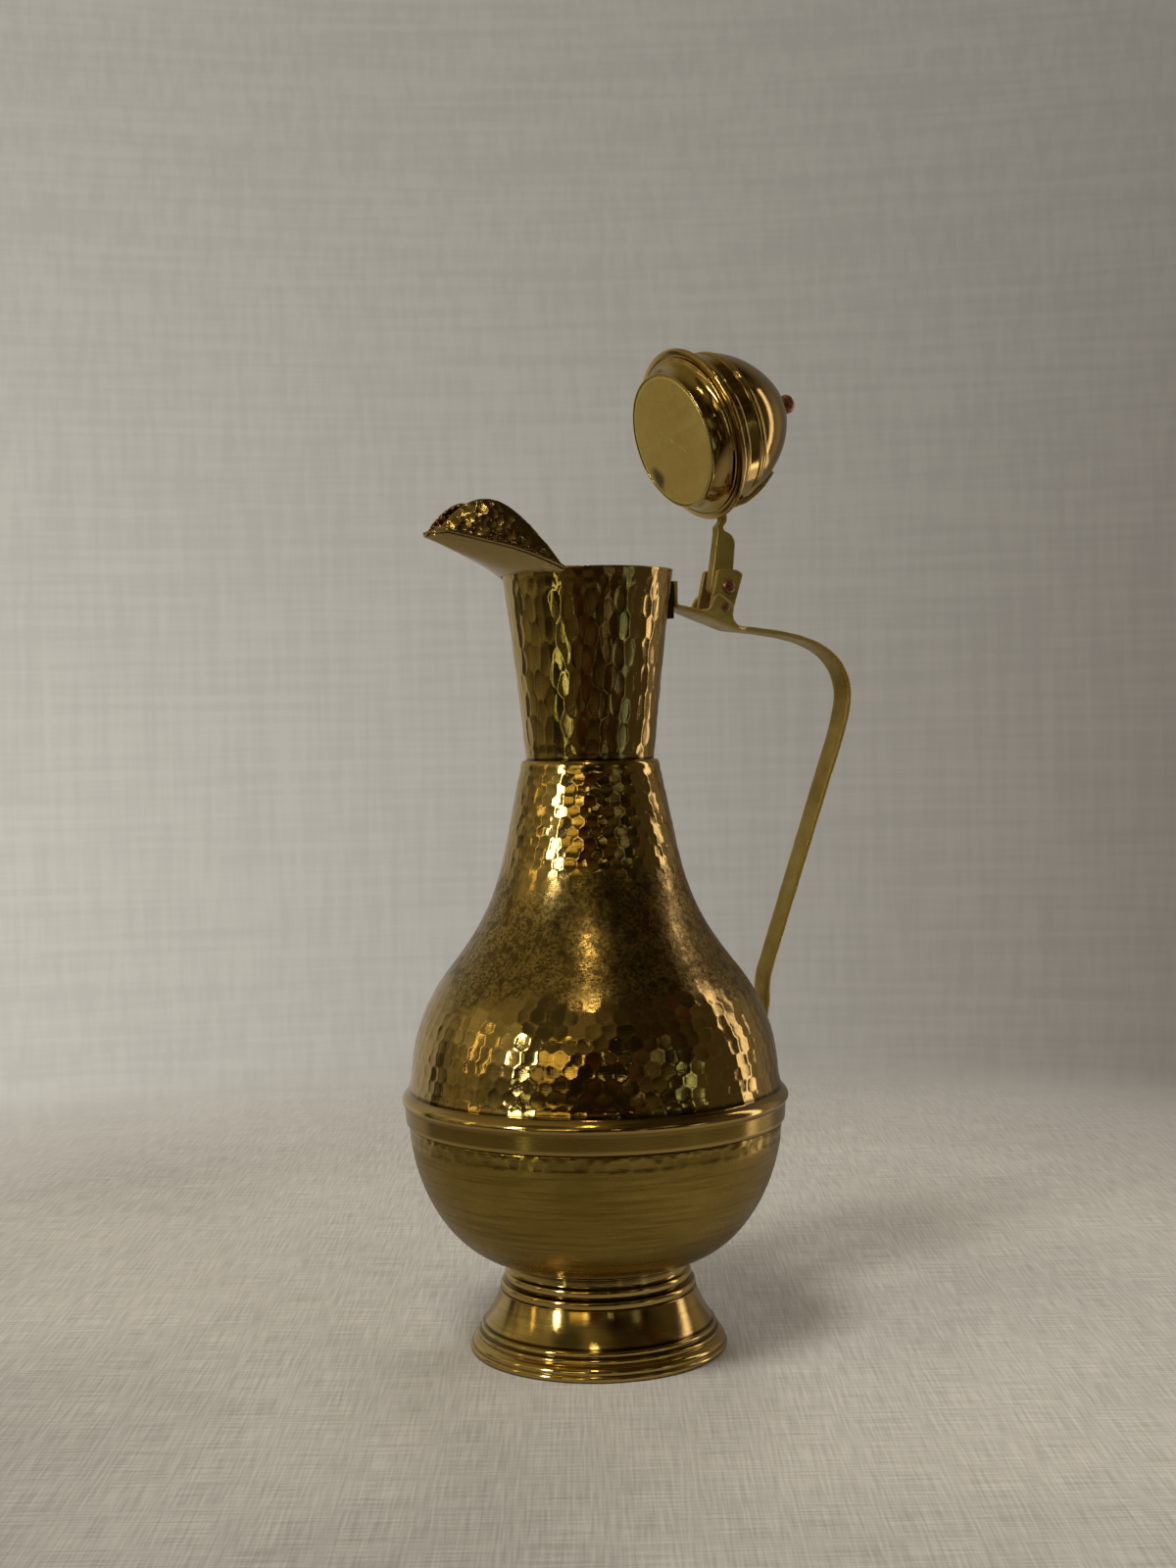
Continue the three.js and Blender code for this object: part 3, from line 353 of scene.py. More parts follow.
class Nodes:
    """Short names for building a material's nodes."""

    def __init__(self, tree):
        self.tree = tree

    def add(self, kind, **values):
        node = self.tree.nodes.new(kind)
        for key, value in values.items():
            if hasattr(node, key):
                setattr(node, key, value)
            else:
                node.inputs[key].default_value = value
        return node

    def link(self, a, b):
        self.tree.links.new(a, b)

    def fill(self, sockets, values):
        """Sets or links each socket, from a number, a colour or another node's output."""
        for socket, value in zip(sockets, values):
            if isinstance(value, (int, float)):
                socket.default_value = value
            elif isinstance(value, tuple):
                socket.default_value = (*value, 1)
            else:
                self.link(value, socket)

    def noise(self, vector, scale, detail=4.0, rough=0.55):
        """Noise at one scale, or drawn out with a scale for each axis."""
        if isinstance(scale, tuple):
            drawn = self.add("ShaderNodeMapping", Scale=scale)
            self.link(vector, drawn.inputs["Vector"])
            vector, scale = drawn.outputs["Vector"], 1.0
        node = self.add("ShaderNodeTexNoise", Scale=scale, Detail=detail, Roughness=rough)
        self.link(vector, node.inputs["Vector"])
        return node.outputs["Fac"]

    def spread(self, value, low, high, to_low=0, to_high=1):
        """Carries the range low to high over to another, and holds its ends."""
        node = self.add("ShaderNodeMapRange")
        self.fill(node.inputs, (value, low, high, to_low, to_high))
        return node.outputs["Result"]

    def math(self, kind, a, b=0.0):
        node = self.add("ShaderNodeMath", operation=kind)
        self.fill(node.inputs, (a, b))
        return node.outputs[0]

    def plus(self, a, b):
        return self.math("ADD", a, b)

    def times(self, a, b):
        return self.math("MULTIPLY", a, b)

    def blend(self, a, b, share):
        """share of a and the rest of b."""
        return self.plus(self.times(a, share), self.times(b, 1 - share))

    def between(self, value, rise, fall):
        """1 inside a band that fades over rise and fall, each (from, to)."""
        return self.times(self.spread(value, *rise), self.spread(value, *fall, 1, 0))

    def mix(self, factor, a, b):
        node = self.add("ShaderNodeMix", data_type="RGBA")
        self.fill((node.inputs[0], node.inputs[6], node.inputs[7]), (factor, a, b))
        return node.outputs[2]

    def measure(self, kind, vector, other=(0, 0, 0)):
        """A dot product, a distance or a length."""
        node = self.add("ShaderNodeVectorMath", operation=kind)
        node.inputs[1].default_value = other
        self.link(vector, node.inputs[0])
        return node.outputs["Value"]

    def bump(self, height, strength, distance):
        node = self.add("ShaderNodeBump", Strength=strength, Distance=distance)
        self.link(height, node.inputs["Height"])
        return node.outputs["Normal"]


def new_material(name):
    material = bpy.data.materials.new(name)
    material.use_nodes = True
    n = Nodes(material.node_tree)
    return material, n, n.tree.nodes["Principled BSDF"]


BLACK = (0.0, 0.0, 0.0)
STAIN_COLOUR = (0.10, 0.055, 0.035)


def metal(
    name, bright, dull, rough, *, patina=0.5, scratch=0.25, brushed=0.0, pits=0.0, grime=0.3,
    worn=None, dull_below=0, seams=(), stain=None, gloss=1.0, keen=(),
):
    """Worn yellow metal: patina in patches, fine scratches, optional turning or brushing lines.

    Hollows are darkened, partly as grime and partly as painted shade, and ridges are lightened, partly
    as rubbed wear and partly as a painted highlight. worn is a band of heights, in millimetres,
    where the polish has gone and dark spots have come. Below the height dull_below all is dull.
    seams are (height, reach) of joints and grooves, darkened with dirt and painted shade, keen are
    (low, high) heights left polished, stain is (place, radius) of a dark spot, and gloss below 1
    gives a dry skin of oxide.
    """
    material, n, shader = new_material(name)
    shader.inputs["Metallic"].default_value = gloss
    place = n.add("ShaderNodeTexCoord")
    solid, flat = place.outputs["Object"], place.outputs["UV"]
    split = n.add("ShaderNodeSeparateXYZ")
    n.link(solid, split.inputs[0])
    z = split.outputs["Z"]
    # The darker tones: one for worn spots, grime and, as painted shade, the hollows; one for joints and
    # grooves, dirt with painted shade.
    dark_and_shade, dirt_and_shade = (tuple(c * share for c in dull) for share in (0.35, 0.15))
    # A lighter tone for ridges: rubbed wear and a painted highlight.
    rubbed_and_highlight = tuple(min(1, c * 1.25) for c in bright)

    broad = n.noise(solid, 38.0, 5.0, 0.6)
    middle = n.noise(solid, 170.0, 4.0, 0.6)
    fine = n.noise(solid, 900.0, 3.0, 0.6)
    patches = n.spread(n.blend(broad, middle, 0.65), 0.38, 0.66)
    low, high = rough
    shine = n.spread(n.blend(patches, fine, 0.6), 0.1, 0.9, low, high)
    unpolished = n.spread(z, (dull_below - 0.3) * MM, (dull_below + 0.3) * MM, 1, 0)
    shine = n.plus(shine, n.times(unpolished, 0.07))
    if worn:
        level = n.plus(z, n.spread(broad, 0.3, 0.7, -12 * MM, 12 * MM))
        start, end = (height * MM for height in worn)
        gone = n.between(level, (start - 4 * MM, start + 4 * MM), (end - 3 * MM, end + 3 * MM))
        grains = n.spread(n.noise(solid, 900.0, 4.0, 0.8), 0.47, 0.56, 0, 0.9)
        blots = n.spread(n.noise(solid, 260.0, 4.0, 0.65), 0.50, 0.59, 0, 0.8)
        spots = n.times(gone, n.math("MAXIMUM", grains, blots))
        shine = n.plus(shine, n.times(gone, n.spread(middle, 0.3, 0.7, 0.10, 0.24)))
    streaks = n.noise(flat, (24.0, 620.0, 1.0), 4.0, 0.65)
    streaks = n.spread(streaks, 0.40, 0.60, 0, min(1, brushed * 0.5))
    colour = n.mix(n.math("MAXIMUM", n.times(patches, patina), streaks), bright, dull)
    colour = n.mix(n.times(unpolished, 0.9), colour, BAND_BRASS)
    for low_z, high_z in keen:
        edges = [((at - 0.4) * MM, (at + 0.4) * MM) for at in (low_z, high_z)]
        shine = n.math("SUBTRACT", shine, n.times(n.between(z, *edges), low - 0.08))
    if worn:
        colour = n.mix(spots, colour, dark_and_shade)
    # Joints and grooves are darkened: dirt and painted shade.
    for seam_z, reach in seams:
        off = n.math("ABSOLUTE", n.math("SUBTRACT", z, seam_z * MM))
        colour = n.mix(n.spread(off, reach * 0.3 * MM, reach * MM, 0.95, 0), colour, dirt_and_shade)
    if stain:
        spot_at, radius = stain
        gap = n.measure("DISTANCE", solid, Vector(spot_at) * MM)
        ragged = n.plus(gap, n.spread(middle, 0.3, 0.7, -1.6 * MM, 1.6 * MM))
        inside = n.spread(ragged, radius * 0.3 * MM, radius * MM, 0.85, 0)
        colour = n.mix(inside, colour, STAIN_COLOUR)
    colour = n.mix(n.spread(fine, 0.60, 0.78, 0, grime), colour, dark_and_shade)
    shape = n.add("ShaderNodeNewGeometry").outputs["Pointiness"]
    # Painted shade, with some grime: the hollows of the surface are darkened.
    colour = n.mix(n.spread(shape, 0.44, 0.49, 0.9, 0), colour, dark_and_shade)
    # Painted highlight, with rubbed wear: convex ridges are lightened.
    colour = n.mix(n.spread(shape, 0.503, 0.515, 0, 0.6), colour, rubbed_and_highlight)

    hair = n.noise(solid, (260.0, 260.0, 2600.0), 2.0, 0.7)
    cross = n.noise(solid, (2200.0, 500.0, 300.0), 2.0, 0.7)
    lines = n.noise(flat, (14.0, 2600.0, 1.0), 3.0, 0.7)
    shine = n.plus(shine, n.spread(hair, 0.55, 0.8, 0, 0.12 * scratch))
    height = n.times(n.spread(hair, 0.35, 0.75), scratch)
    height = n.plus(height, n.times(n.spread(cross, 0.45, 0.75), scratch * 0.6))
    height = n.plus(height, n.times(lines, brushed))
    height = n.plus(height, n.times(n.spread(fine, 0.3, 0.5), pits))
    n.link(shine, shader.inputs["Roughness"])
    n.link(colour, shader.inputs["Base Color"])
    n.link(n.bump(height, 0.35, 0.06 * MM), shader.inputs["Normal"])
    return material


BRASS, DARK_BRASS, BAND_BRASS = (0.62, 0.435, 0.15), (0.36, 0.24, 0.065), (0.40, 0.265, 0.06)
polished = metal(
    "hammered brass", BRASS, DARK_BRASS, (0.06, 0.14), patina=0.55, scratch=0.4,
    worn=(124, 166), dull_below=BAND_RIDGE,
    seams=((COLLAR_TOP + 0.1, 0.9), (BAND_EDGE, 0.9), (BAND_TOP - 0.2, 0.9)),
)
neck_metal = metal(
    "neck brass", BRASS, DARK_BRASS, (0.08, 0.18), patina=0.6, scratch=0.5,
    seams=((COLLAR_TOP, 1.2),),
)
bowl_metal = metal(
    "brushed bowl brass", (0.50, 0.345, 0.085), (0.22, 0.135, 0.02), (0.22, 0.36),
    scratch=0.6, brushed=1.3, pits=0.3,
    seams=((BAND_EDGE, 1.5), (31.2, 1.6)), keen=((74.2, 79.4), (29.0, 36.5)),
)
foot_metal = metal(
    "turned foot brass", (0.70, 0.50, 0.17), (0.44, 0.29, 0.08), (0.07, 0.15),
    scratch=0.3, brushed=1.0,
    seams=((FOOT_HEIGHT, 1.6), (24.2, 0.8), (FLARE_TOP, 0.7), (FLARE_BASE - 0.2, 0.7), (6.9, 0.6)),
)
lip_metal = metal(
    "spout brass", (0.52, 0.38, 0.16), (0.32, 0.21, 0.065), (0.10, 0.22),
    patina=0.6, scratch=0.5, pits=0.5,
)
strap_metal = metal(
    "handle brass", (0.52, 0.37, 0.10), (0.28, 0.18, 0.035), (0.24, 0.38),
    patina=0.9, scratch=0.7, pits=0.8, gloss=0.72,
)
# Painted shade: the pads are made nearly black for the shade between them, the strap ends and the wall.
shade_dark_pad_metal = metal(
    "pad brass darkened as painted shade", (0.055, 0.035, 0.02), (0.02, 0.012, 0.008), (0.40, 0.55),
    patina=0.8, scratch=0.5, pits=1.0,
)
lid_metal = metal("lid brass", BRASS, DARK_BRASS, (0.07, 0.15), scratch=0.2, brushed=0.5)
disc_metal = metal(
    "plug disc brass", (0.98, 0.72, 0.19), (0.80, 0.56, 0.12), (0.36, 0.48),
    patina=0.7, scratch=0.5, pits=0.8, grime=0.6, stain=(STAIN_AT, STAIN_RADIUS), gloss=0.84,
)
copper = metal(
    "worn copper", (0.42, 0.19, 0.12), (0.16, 0.07, 0.04), (0.24, 0.42),
    patina=0.8, scratch=0.5, pits=1.0, grime=0.6, gloss=0.9,
)


# ---- Vessel ----

BODY, LID = "ewer", "lid"


def turned(name, runs, dent, material, body, node, *, spread=64.0, carry=None):
    """A piece turned about the axis, and then carried to its place if it isn't there yet.

    runs are its outline, the outside first. dent is for the first rows, and the others stay plain.
    """
    rows, columns = np.concatenate(runs), dent.shape[1]
    dent = np.concatenate([dent, np.zeros((len(rows) - len(dent), columns))])
    points, quads, uv = revolve(rows, columns, dent, spread)
    if carry:
        points = carry(points)
    piece = new_object(name, build_mesh(name, points, quads, uv))
    dress(piece, material, body, node)


def make_foot():
    edge, step, flare = FOOT_RADIUS, FOOT_RADIUS - 2.7, FOOT_RADIUS - 5.2
    line = Outline(edge - 0.9, 0).quad(edge + 0.3, 0.7, edge - 0.5, 1.9)
    line.quad(edge - 1.2, 2.1, edge - 0.9, 2.5).quad(edge - 0.7, 3.7, edge - 2.1, 4.6)
    line.quad(step + 0.1, 4.7, step, 5.1).bead(step - 0.7, 1.6, 0.5).line(flare + 1.2, 7.2)
    line.bead(flare + 0.7, 1.6, 0.5).line(flare, FLARE_BASE)
    line.cubic(flare - 2.5, FLARE_BASE + 3.3, FOOT_WAIST + 1.1, FLARE_TOP - 3.6, FOOT_WAIST, FLARE_TOP)
    line.bead(FOOT_WAIST - 0.8, 2.8, 0.6).line(FOOT_WAIST - 1.7, 24.3)
    line.bead(FOOT_WAIST - 2.3, 2.8, 0.6).line(FOOT_TOP + 0.3, 27.8).line(FOOT_TOP, FOOT_HEIGHT)
    spacing = 0.28
    outer = resample(line.array(), spacing)
    ring = edge - 0.9 - FOOT_RING
    inside = Outline(FOOT_TOP - FOOT_WALL, FOOT_HEIGHT).line(FOOT_WAIST - FOOT_WALL - 0.4, FLARE_TOP)
    inside.line(FOOT_WAIST + 2.1 - FOOT_WALL, 15.2).line(flare - FOOT_WALL, FLARE_BASE)
    inner = resample(inside.line(ring, 2.6).line(ring, 0.05).array(), 1.5)
    dent = waves(around(288), np.arange(len(outer))[:, None] * spacing, 0.05, 5)
    dent *= ramp(outer[:, 1:], 0, 1.5)
    turned("turned_foot", [outer, inner], dent, foot_metal, BODY, "foot", spread=40)


def make_bowl():
    top_r, top_z, inner_r = BELLY - 2.1 - SEAT, BAND_EDGE - SEAT, 63.5
    line = Outline(AXIS, 29.6).quad(18.1, 29.6, 30.2, 31.1)
    line.cubic(50.6, 33.1, top_r - 0.8, top_z - 21.6, top_r, top_z)
    line.line(inner_r, top_z + 0.1).line(inner_r, 88.4)
    outer = resample(line.array(), 0.6)
    inner = lining(line.array(), WALL)
    inner[-1, 0] = AXIS
    columns, z = 480, outer[:, 1:]
    dent = hammered(outer, columns, width=4.6, tall=4.4, hollow=30.0, tilt=0.03, seed=21, steep=0.0016)
    dent *= 0.10 + 0.90 * ramp(z, 73.4, 74.6) * ramp(z, BAND_EDGE, BAND_EDGE - 0.6)
    dent += waves(around(columns), z, 0.12, 22) * ramp(z, 33, 43) * ramp(z, 79, 76)
    turned("raised_bowl", [outer, inner], dent, bowl_metal, BODY, "lower_bowl")


def make_upper_body():
    base, ridge = BELLY - 2.3, BAND_RIDGE
    line = Outline(BELLY - 2.1, BAND_EDGE)
    line.quad(BELLY - 1.5, BAND_EDGE + 0.1, BELLY - 1.3, BAND_EDGE + 1)
    line.line(BELLY - 0.95, ridge - 1.5).line(BELLY - 0.75, ridge - 0.9)
    line.quad(BELLY + 0.25, ridge - 0.4, BELLY - 0.1, ridge + 0.8)
    line.quad(BELLY - 0.5, ridge + 2.2, BELLY - 1.9, ridge + 3.1)
    line.quad(base - 0.1, ridge + 3.6, base, BAND_TOP)
    line.cubic(base - 2.3, BAND_TOP + 5.8, KNEE_R + 16.1, KNEE_Z - 20.2, KNEE_R, KNEE_Z)
    line.cubic(KNEE_R - 19.1, KNEE_Z + 23.9, COLLAR_R + 7.7, COLLAR_Z - 34.2, COLLAR_R, COLLAR_Z)
    inner = lining(line.array(), WALL, 4.0)
    inner[-1] = (BELLY - 2.1 - WALL, BAND_EDGE)
    line.quad(COLLAR_R - 0.1, COLLAR_TOP - 0.2, NECK_R + SEAT + 0.4, COLLAR_TOP)
    outer = resample(line.line(NECK_R + SEAT, COLLAR_TOP).array(), 0.56)
    columns, z = 600, outer[:, 1:]
    theta = around(columns)
    big = hammered(
        outer, columns, width=5.3, tall=4.5, hollow=60.0, tilt=0.014, seed=31,
        jitter=0.12, start=12.0, steep=0.0014,
    )
    small = hammered(
        outer, columns, width=4.0, tall=3.6, hollow=34.0, tilt=0.020, seed=32,
        jitter=0.14, start=12.0, steep=0.0026,
    )
    higher = ramp(z, 140, 170)
    wander = waves(theta, z, 7.0, 33, 9)
    smoothed = ramp(z + wander, 121, 129) * ramp(z - wander, 168, 163)
    keep = ramp(z, BAND_TOP - 1.5, BAND_TOP + 1.5) * ramp(z, COLLAR_Z, COLLAR_Z - 1.5)
    keep = keep * (1 - 0.80 * smoothed)
    sheet = ramp(z, BAND_TOP, BAND_TOP + 8) * ramp(z, COLLAR_Z, COLLAR_Z - 6)
    band = ramp(z, BAND_TOP, BAND_TOP - 2) * ramp(z, BAND_EDGE, BAND_EDGE + 2)
    dent = (big * (1 - higher) + small * higher) * keep
    dent += waves(theta, z, 0.10, 34) * sheet + waves(theta, z * 3, 0.10, 35, 11) * band
    turned("hammered_shoulder", [outer, inner], dent, polished, BODY, "upper_body")


def neck_line():
    line = Outline(NECK_R, NECK_LOW).line(NECK_R, NECK_Z)
    line.cubic(NECK_R + 2.4, NECK_Z + 21, RIM_R - 3.25, RIM_Z - 21, RIM_R, RIM_Z)
    return line.array()


def make_neck():
    outer = resample(neck_line(), 0.45)
    inner = lining(neck_line(), WALL, 1.2)
    inner[0, 1] = RIM_Z
    columns, z = 480, outer[:, 1:]
    tall = hammered(
        outer, columns, width=3.7, tall=8.5, hollow=26.0, tilt=0.028, seed=41,
        jitter=0.28, stretch=2.2, start=4.0, steep=0.0040, loose=0.5,
    )
    square = hammered(
        outer, columns, width=3.6, tall=3.6, hollow=18.0, tilt=0.03, seed=42,
        jitter=0.2, start=4.0, loose=0.5,
    )
    near_rim = ramp(z, 262, 266)
    dent = tall * (1 - near_rim) + square * near_rim * 0.7
    dent *= ramp(z, 205.5, 207) * np.maximum(ramp(z, RIM_Z + 0.2, RIM_Z - 0.8), 0.25)

    def sway(height):
        """Both faces of the sheet wave together."""
        return waves(around(columns), height, 0.12, 43) * ramp(height, 206, 212)

    dent = np.concatenate([dent + sway(z), -sway(inner[:, 1:])])
    turned("planished_neck", [outer, inner], dent, neck_metal, BODY, "neck")


# ---- Spout lip ----

LIP_REACH, LIP_TIP_Z, LIP_NOSE, LIP_HALF, LIP_WALL = 61.2, 280.4, 4.6, 6.2, 1.1
KEEL_SLOPE, CREASE_RISE, CREASE_SLOPE = 0.377, 2.5, 0.274
LEAF_HEIGHT, LEAF_LEAN, LEAF_BULGE = 14.2, 0.35, 0.9
LIP_CORNER_DROP = 3.2
LIP_BACK_R = FLANGE_R + SEAT + 0.4
LIP_BACK = (LIP_BACK_R * math.cos(math.radians(45)), LIP_BACK_R * math.sin(math.radians(45)))
FLOOR_POINTS, LEAF_POINTS = 18, 18
MARK_STEP, MARK_HOLLOW, MARK_DEPTH = 2.2, 11.0, 0.11


def lip_section(reach):
    """Half of the sheet's inside, from the keel out and up to a leaf's edge: (sideways, height)."""
    nose_start = LIP_REACH - LIP_NOSE
    back = min(max((nose_start - reach) / (nose_start - LIP_BACK[0]), 0), 1.05)
    nose = ramp(reach, LIP_REACH, nose_start)
    keel = LIP_TIP_Z - (LIP_REACH - reach) * KEEL_SLOPE
    if reach > nose_start:
        half = LIP_HALF * math.sqrt(nose) + 0.2
        crease = keel + CREASE_RISE * nose
    else:
        half = LIP_HALF + 0.2 + (LIP_BACK[1] - LIP_HALF - 0.2) * back
        crease = LIP_TIP_Z - LIP_NOSE * KEEL_SLOPE + CREASE_RISE - (nose_start - reach) * CREASE_SLOPE
        crease -= LIP_CORNER_DROP * max(0, (back - 0.5) / 0.55) ** 1.6
    share = ramp(reach, nose_start + 1.2, LIP_BACK[0])
    leaf = 0.4 + LEAF_HEIGHT * math.sin(math.pi * share) ** 0.9
    flat = 1.3 + 1.4 * back
    points = [(half * y, keel + (crease - keel) * y**flat) for y in np.linspace(0, 1, FLOOR_POINTS)]
    for h in np.linspace(0, 1, LEAF_POINTS + 1)[1:]:
        lean = LEAF_LEAN * leaf * h - LEAF_BULGE * math.sin(math.pi * h) * leaf / LEAF_HEIGHT
        points.append((half - lean, crease + leaf * h))
    return points


def make_lip():
    rings = []
    for t in np.linspace(0, 1, 110):
        reach = LIP_REACH + (LIP_BACK[0] - 1 - LIP_REACH) * t * (0.55 + 0.45 * t)
        half = lip_section(reach)
        inside = np.array([(-y, z) for y, z in half[1:][::-1]] + half)
        outside = (inside + normals(inside) * LIP_WALL)[::-1]
        rings.append([(-reach, y, z) for y, z in np.concatenate([inside, outside])])
    piece = rough_piece("folded_spout_lip", *loft(np.array(rings)[::-1]))
    cone = neck_line()
    grown = resample(cone + normals(cone) * SEAT, 1.5)
    core = np.concatenate([grown, [(AXIS, grown[-1, 1]), (AXIS, grown[0, 1])]])
    low, high, wide = RIM_Z - 0.1, RIM_Z + 30, FLANGE_R + SEAT
    room = np.array([(wide, low), (wide, high), (AXIS, high), (AXIS, low)])
    cutters = []
    for label, profile in (("core", core), ("room", room)):
        cutters.append(new_object(label, build_mesh(label, *revolve(profile, 192)[:2])))
        cut = piece.modifiers.new(label, "BOOLEAN")
        cut.operation = "DIFFERENCE"
        cut.solver = "EXACT"
        cut.object = cutters[-1]
    mesh = soften(piece, 0.3, 6)
    for cutter in cutters:
        bpy.data.objects.remove(cutter)
    dent_leaves(mesh)
    dress(piece, lip_metal, BODY, "spout_lip")


def dent_leaves(mesh):
    """Hammer marks over the leaves, deeper to the front, rolled-in edges and a grooved crease.

    Both faces of the sheet move sideways together, so that its thickness stays.
    """
    count = len(mesh.vertices)
    spots = np.zeros(count * 3, np.float32)
    aim = np.zeros(count * 3, np.float32)
    mesh.vertices.foreach_get("co", spots)
    mesh.vertex_normals.foreach_get("vector", aim)
    spots, aim = spots.reshape(-1, 3) / MM, aim.reshape(-1, 3)
    dice = np.random.default_rng(52)
    flat = np.stack([spots[:, 0], spots[:, 2] * 1.05], axis=1)
    side = np.sign(spots[:, 1])
    depth = np.zeros(count)
    across, up = np.arange(-64, -14, MARK_STEP), np.arange(272, 314, MARK_STEP)
    for leaf in (-1, 1):
        mine = side == leaf
        grid = np.array([(x, z) for x in across for z in up])
        grid = grid + dice.uniform(-0.8, 0.8, grid.shape)
        lean = dice.normal(0, 0.07, grid.shape)
        gap = flat[mine][:, None] - grid[None]
        dish = (gap**2).sum(2) / (2 * MARK_HOLLOW) - MARK_DEPTH + (gap * lean[None]).sum(2)
        depth[mine] = np.minimum(dish.min(1), RIDGE)
    reach = -spots[:, 0]
    reaches = np.linspace(LIP_BACK[0], LIP_REACH - 0.5, 60)
    halves = np.array([lip_section(at) for at in reaches])
    crease = np.interp(reach, reaches, halves[:, FLOOR_POINTS - 1, 1])
    top = np.interp(reach, reaches, halves[:, -1, 1])
    above = spots[:, 2] - crease
    share = ramp(above, 0, np.maximum(top - crease, 1))
    roll = 0.5 * ramp(share, 0.62, 1) ** 2 * ramp(top - crease, 4, 12)
    depth = depth * (1 + 0.9 * ramp(reach, 32, 42)) - 0.004 * np.clip(reach - 42, 0, 14) ** 2
    spots[:, 1] += side * (depth - roll) * ramp(above, 0, 1.5)
    groove = np.exp(-(((above + 0.5) / 0.5) ** 2)) * (aim[:, 1] * side > 0.2)
    spots -= aim * 0.4 * groove[:, None]
    mesh.vertices.foreach_set("co", (spots * MM).astype(np.float32).ravel())
    mesh.update()


# ---- Handle ----

STRAP_T, STRAP_HIGH, STRAP_LOW = 2.0, 11.2, 9.0
NECK_TAB_X, NECK_TAB_TOP, NECK_TAB_HEIGHT = 32.8, 266.4, 7.7
BODY_TAB_X, BODY_TAB_TOP, BODY_TAB_END = 68.4, 104.0, 90.6
ARM_A, ARM_B = np.array((42.0, 255.5)), np.array((57.0, 250.55))
EAR_SPAN, EAR_T, WING_T, BRACKET_X = 10.6, 1.8, 1.6, 52.5
CRADLE = EAR_SPAN + 2 * (SEAT + WING_T)
ARM_WAY = (ARM_B - ARM_A) / np.linalg.norm(ARM_B - ARM_A)
ARM_OUT = np.array((-ARM_WAY[1], ARM_WAY[0]))
ARM_TOP = ARM_A + (ARM_B - ARM_A) * (BRACKET_X - ARM_A[0]) / (ARM_B[0] - ARM_A[0])
ARM_TOP = ARM_TOP + ARM_OUT * STRAP_T / 2


def on_arm(places):
    """Places in the hinge bracket's frame, along the arm and square to it, as (X, Z)."""
    return [tuple(ARM_TOP + ARM_WAY * u + ARM_OUT * v) for u, v in places]


def strap_line():
    lead, trail = ARM_A - ARM_WAY * 6.7, ARM_B + ARM_WAY * 3
    tab_low = NECK_TAB_TOP - NECK_TAB_HEIGHT
    line = Outline(NECK_TAB_X, NECK_TAB_TOP).line(NECK_TAB_X, tab_low)
    line.cubic(NECK_TAB_X, tab_low - 2.2, *lead, *ARM_A).line(*ARM_B)
    line.cubic(*trail, 62.5, 249.8, 66.5, 249.4).cubic(77.0, 248.4, 89.0, 247.2, 97.5, 242.5)
    line.cubic(103.8, 239.0, 107.8, 233.0, 107.8, 226.0).cubic(107.8, 217.5, 101.3, 203.4, 97.3, 193.0)
    line.line(71.8, 126.8).cubic(70.4, 123.2, 70.3, 120.0, 70.3, 116.0)
    line.cubic(70.3, 112.0, BODY_TAB_X, 108.0, BODY_TAB_X, BODY_TAB_TOP)
    return line.line(BODY_TAB_X, BODY_TAB_END).array()


def make_handle():
    line = resample(strap_line(), 0.9)
    way = np.gradient(line, axis=0)
    way /= np.linalg.norm(way, axis=1, keepdims=True)
    share = np.linspace(0, 1, len(line))
    width = STRAP_HIGH + (STRAP_LOW - STRAP_HIGH) * np.minimum(share * 1.3, 1)
    t = ramp(np.abs(line[:, 0] - (BRACKET_X - 3)), 7.5, 13)
    spread = np.where(line[:, 1] > 248.4, 1 - t * t * (3 - 2 * t), 0)
    width = width + (CRADLE - width) * spread
    width = width + 0.10 * np.sin(share * 90) + 0.07 * np.sin(share * 217 + 1)
    section = []
    for a in around(28)[0]:
        c, s = math.cos(a), math.sin(a)
        section.append((math.copysign(abs(c) ** 0.35, c), math.copysign(abs(s) ** 0.55, s)))
    rings = []
    for (x, z), (dx, dz), w, k in zip(line, way, width, share):
        thick = STRAP_T / 2 * (1 + 0.04 * math.sin(k * 150))
        rings.append([(x - dz * thick * s, w / 2 * c, z + dx * thick * s) for c, s in section])
    wing = Outline(-10.4, -1.4).quad(-8.0, 0.6, -7.6, 3.4).quad(-7.2, 7.2, -5.4, 7.9).line(-1.2, 6.6)
    wing.quad(1.7, 6.1, 1.9, 3.4).quad(2.0, 0.6, 5.2, -0.2).line(5.2, -1.4)
    outline = on_arm(wing.array()[::2])
    inner = EAR_SPAN / 2 + SEAT
    outside = inner + WING_T
    parts = [loft(rings), prism(outline, -outside, -inner), prism(outline, inner, outside)]
    forged("handle_strap_forged", parts, 0.32, 7, BODY, "handle_strap")


def make_pads():
    for name, node in (("neck_pad_plate", "neck_pad"), ("body_pad_plate", "body_pad")):
        piece = new_object(name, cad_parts[node].data.copy())
        bevel = piece.modifiers.new("bevel", "BEVEL")
        bevel.width = 0.35 * MM
        bevel.segments = 3
        bevel.angle_limit = math.radians(50)
        apply_modifiers(piece)
        dress(piece, shade_dark_pad_metal, BODY, node)


RIVET_R, RIVET_HEAD, RIVET_RISE = 1.1, 1.85, 1.1
TAIL_GAP, HEAD_GAP = 0.1, 0.05


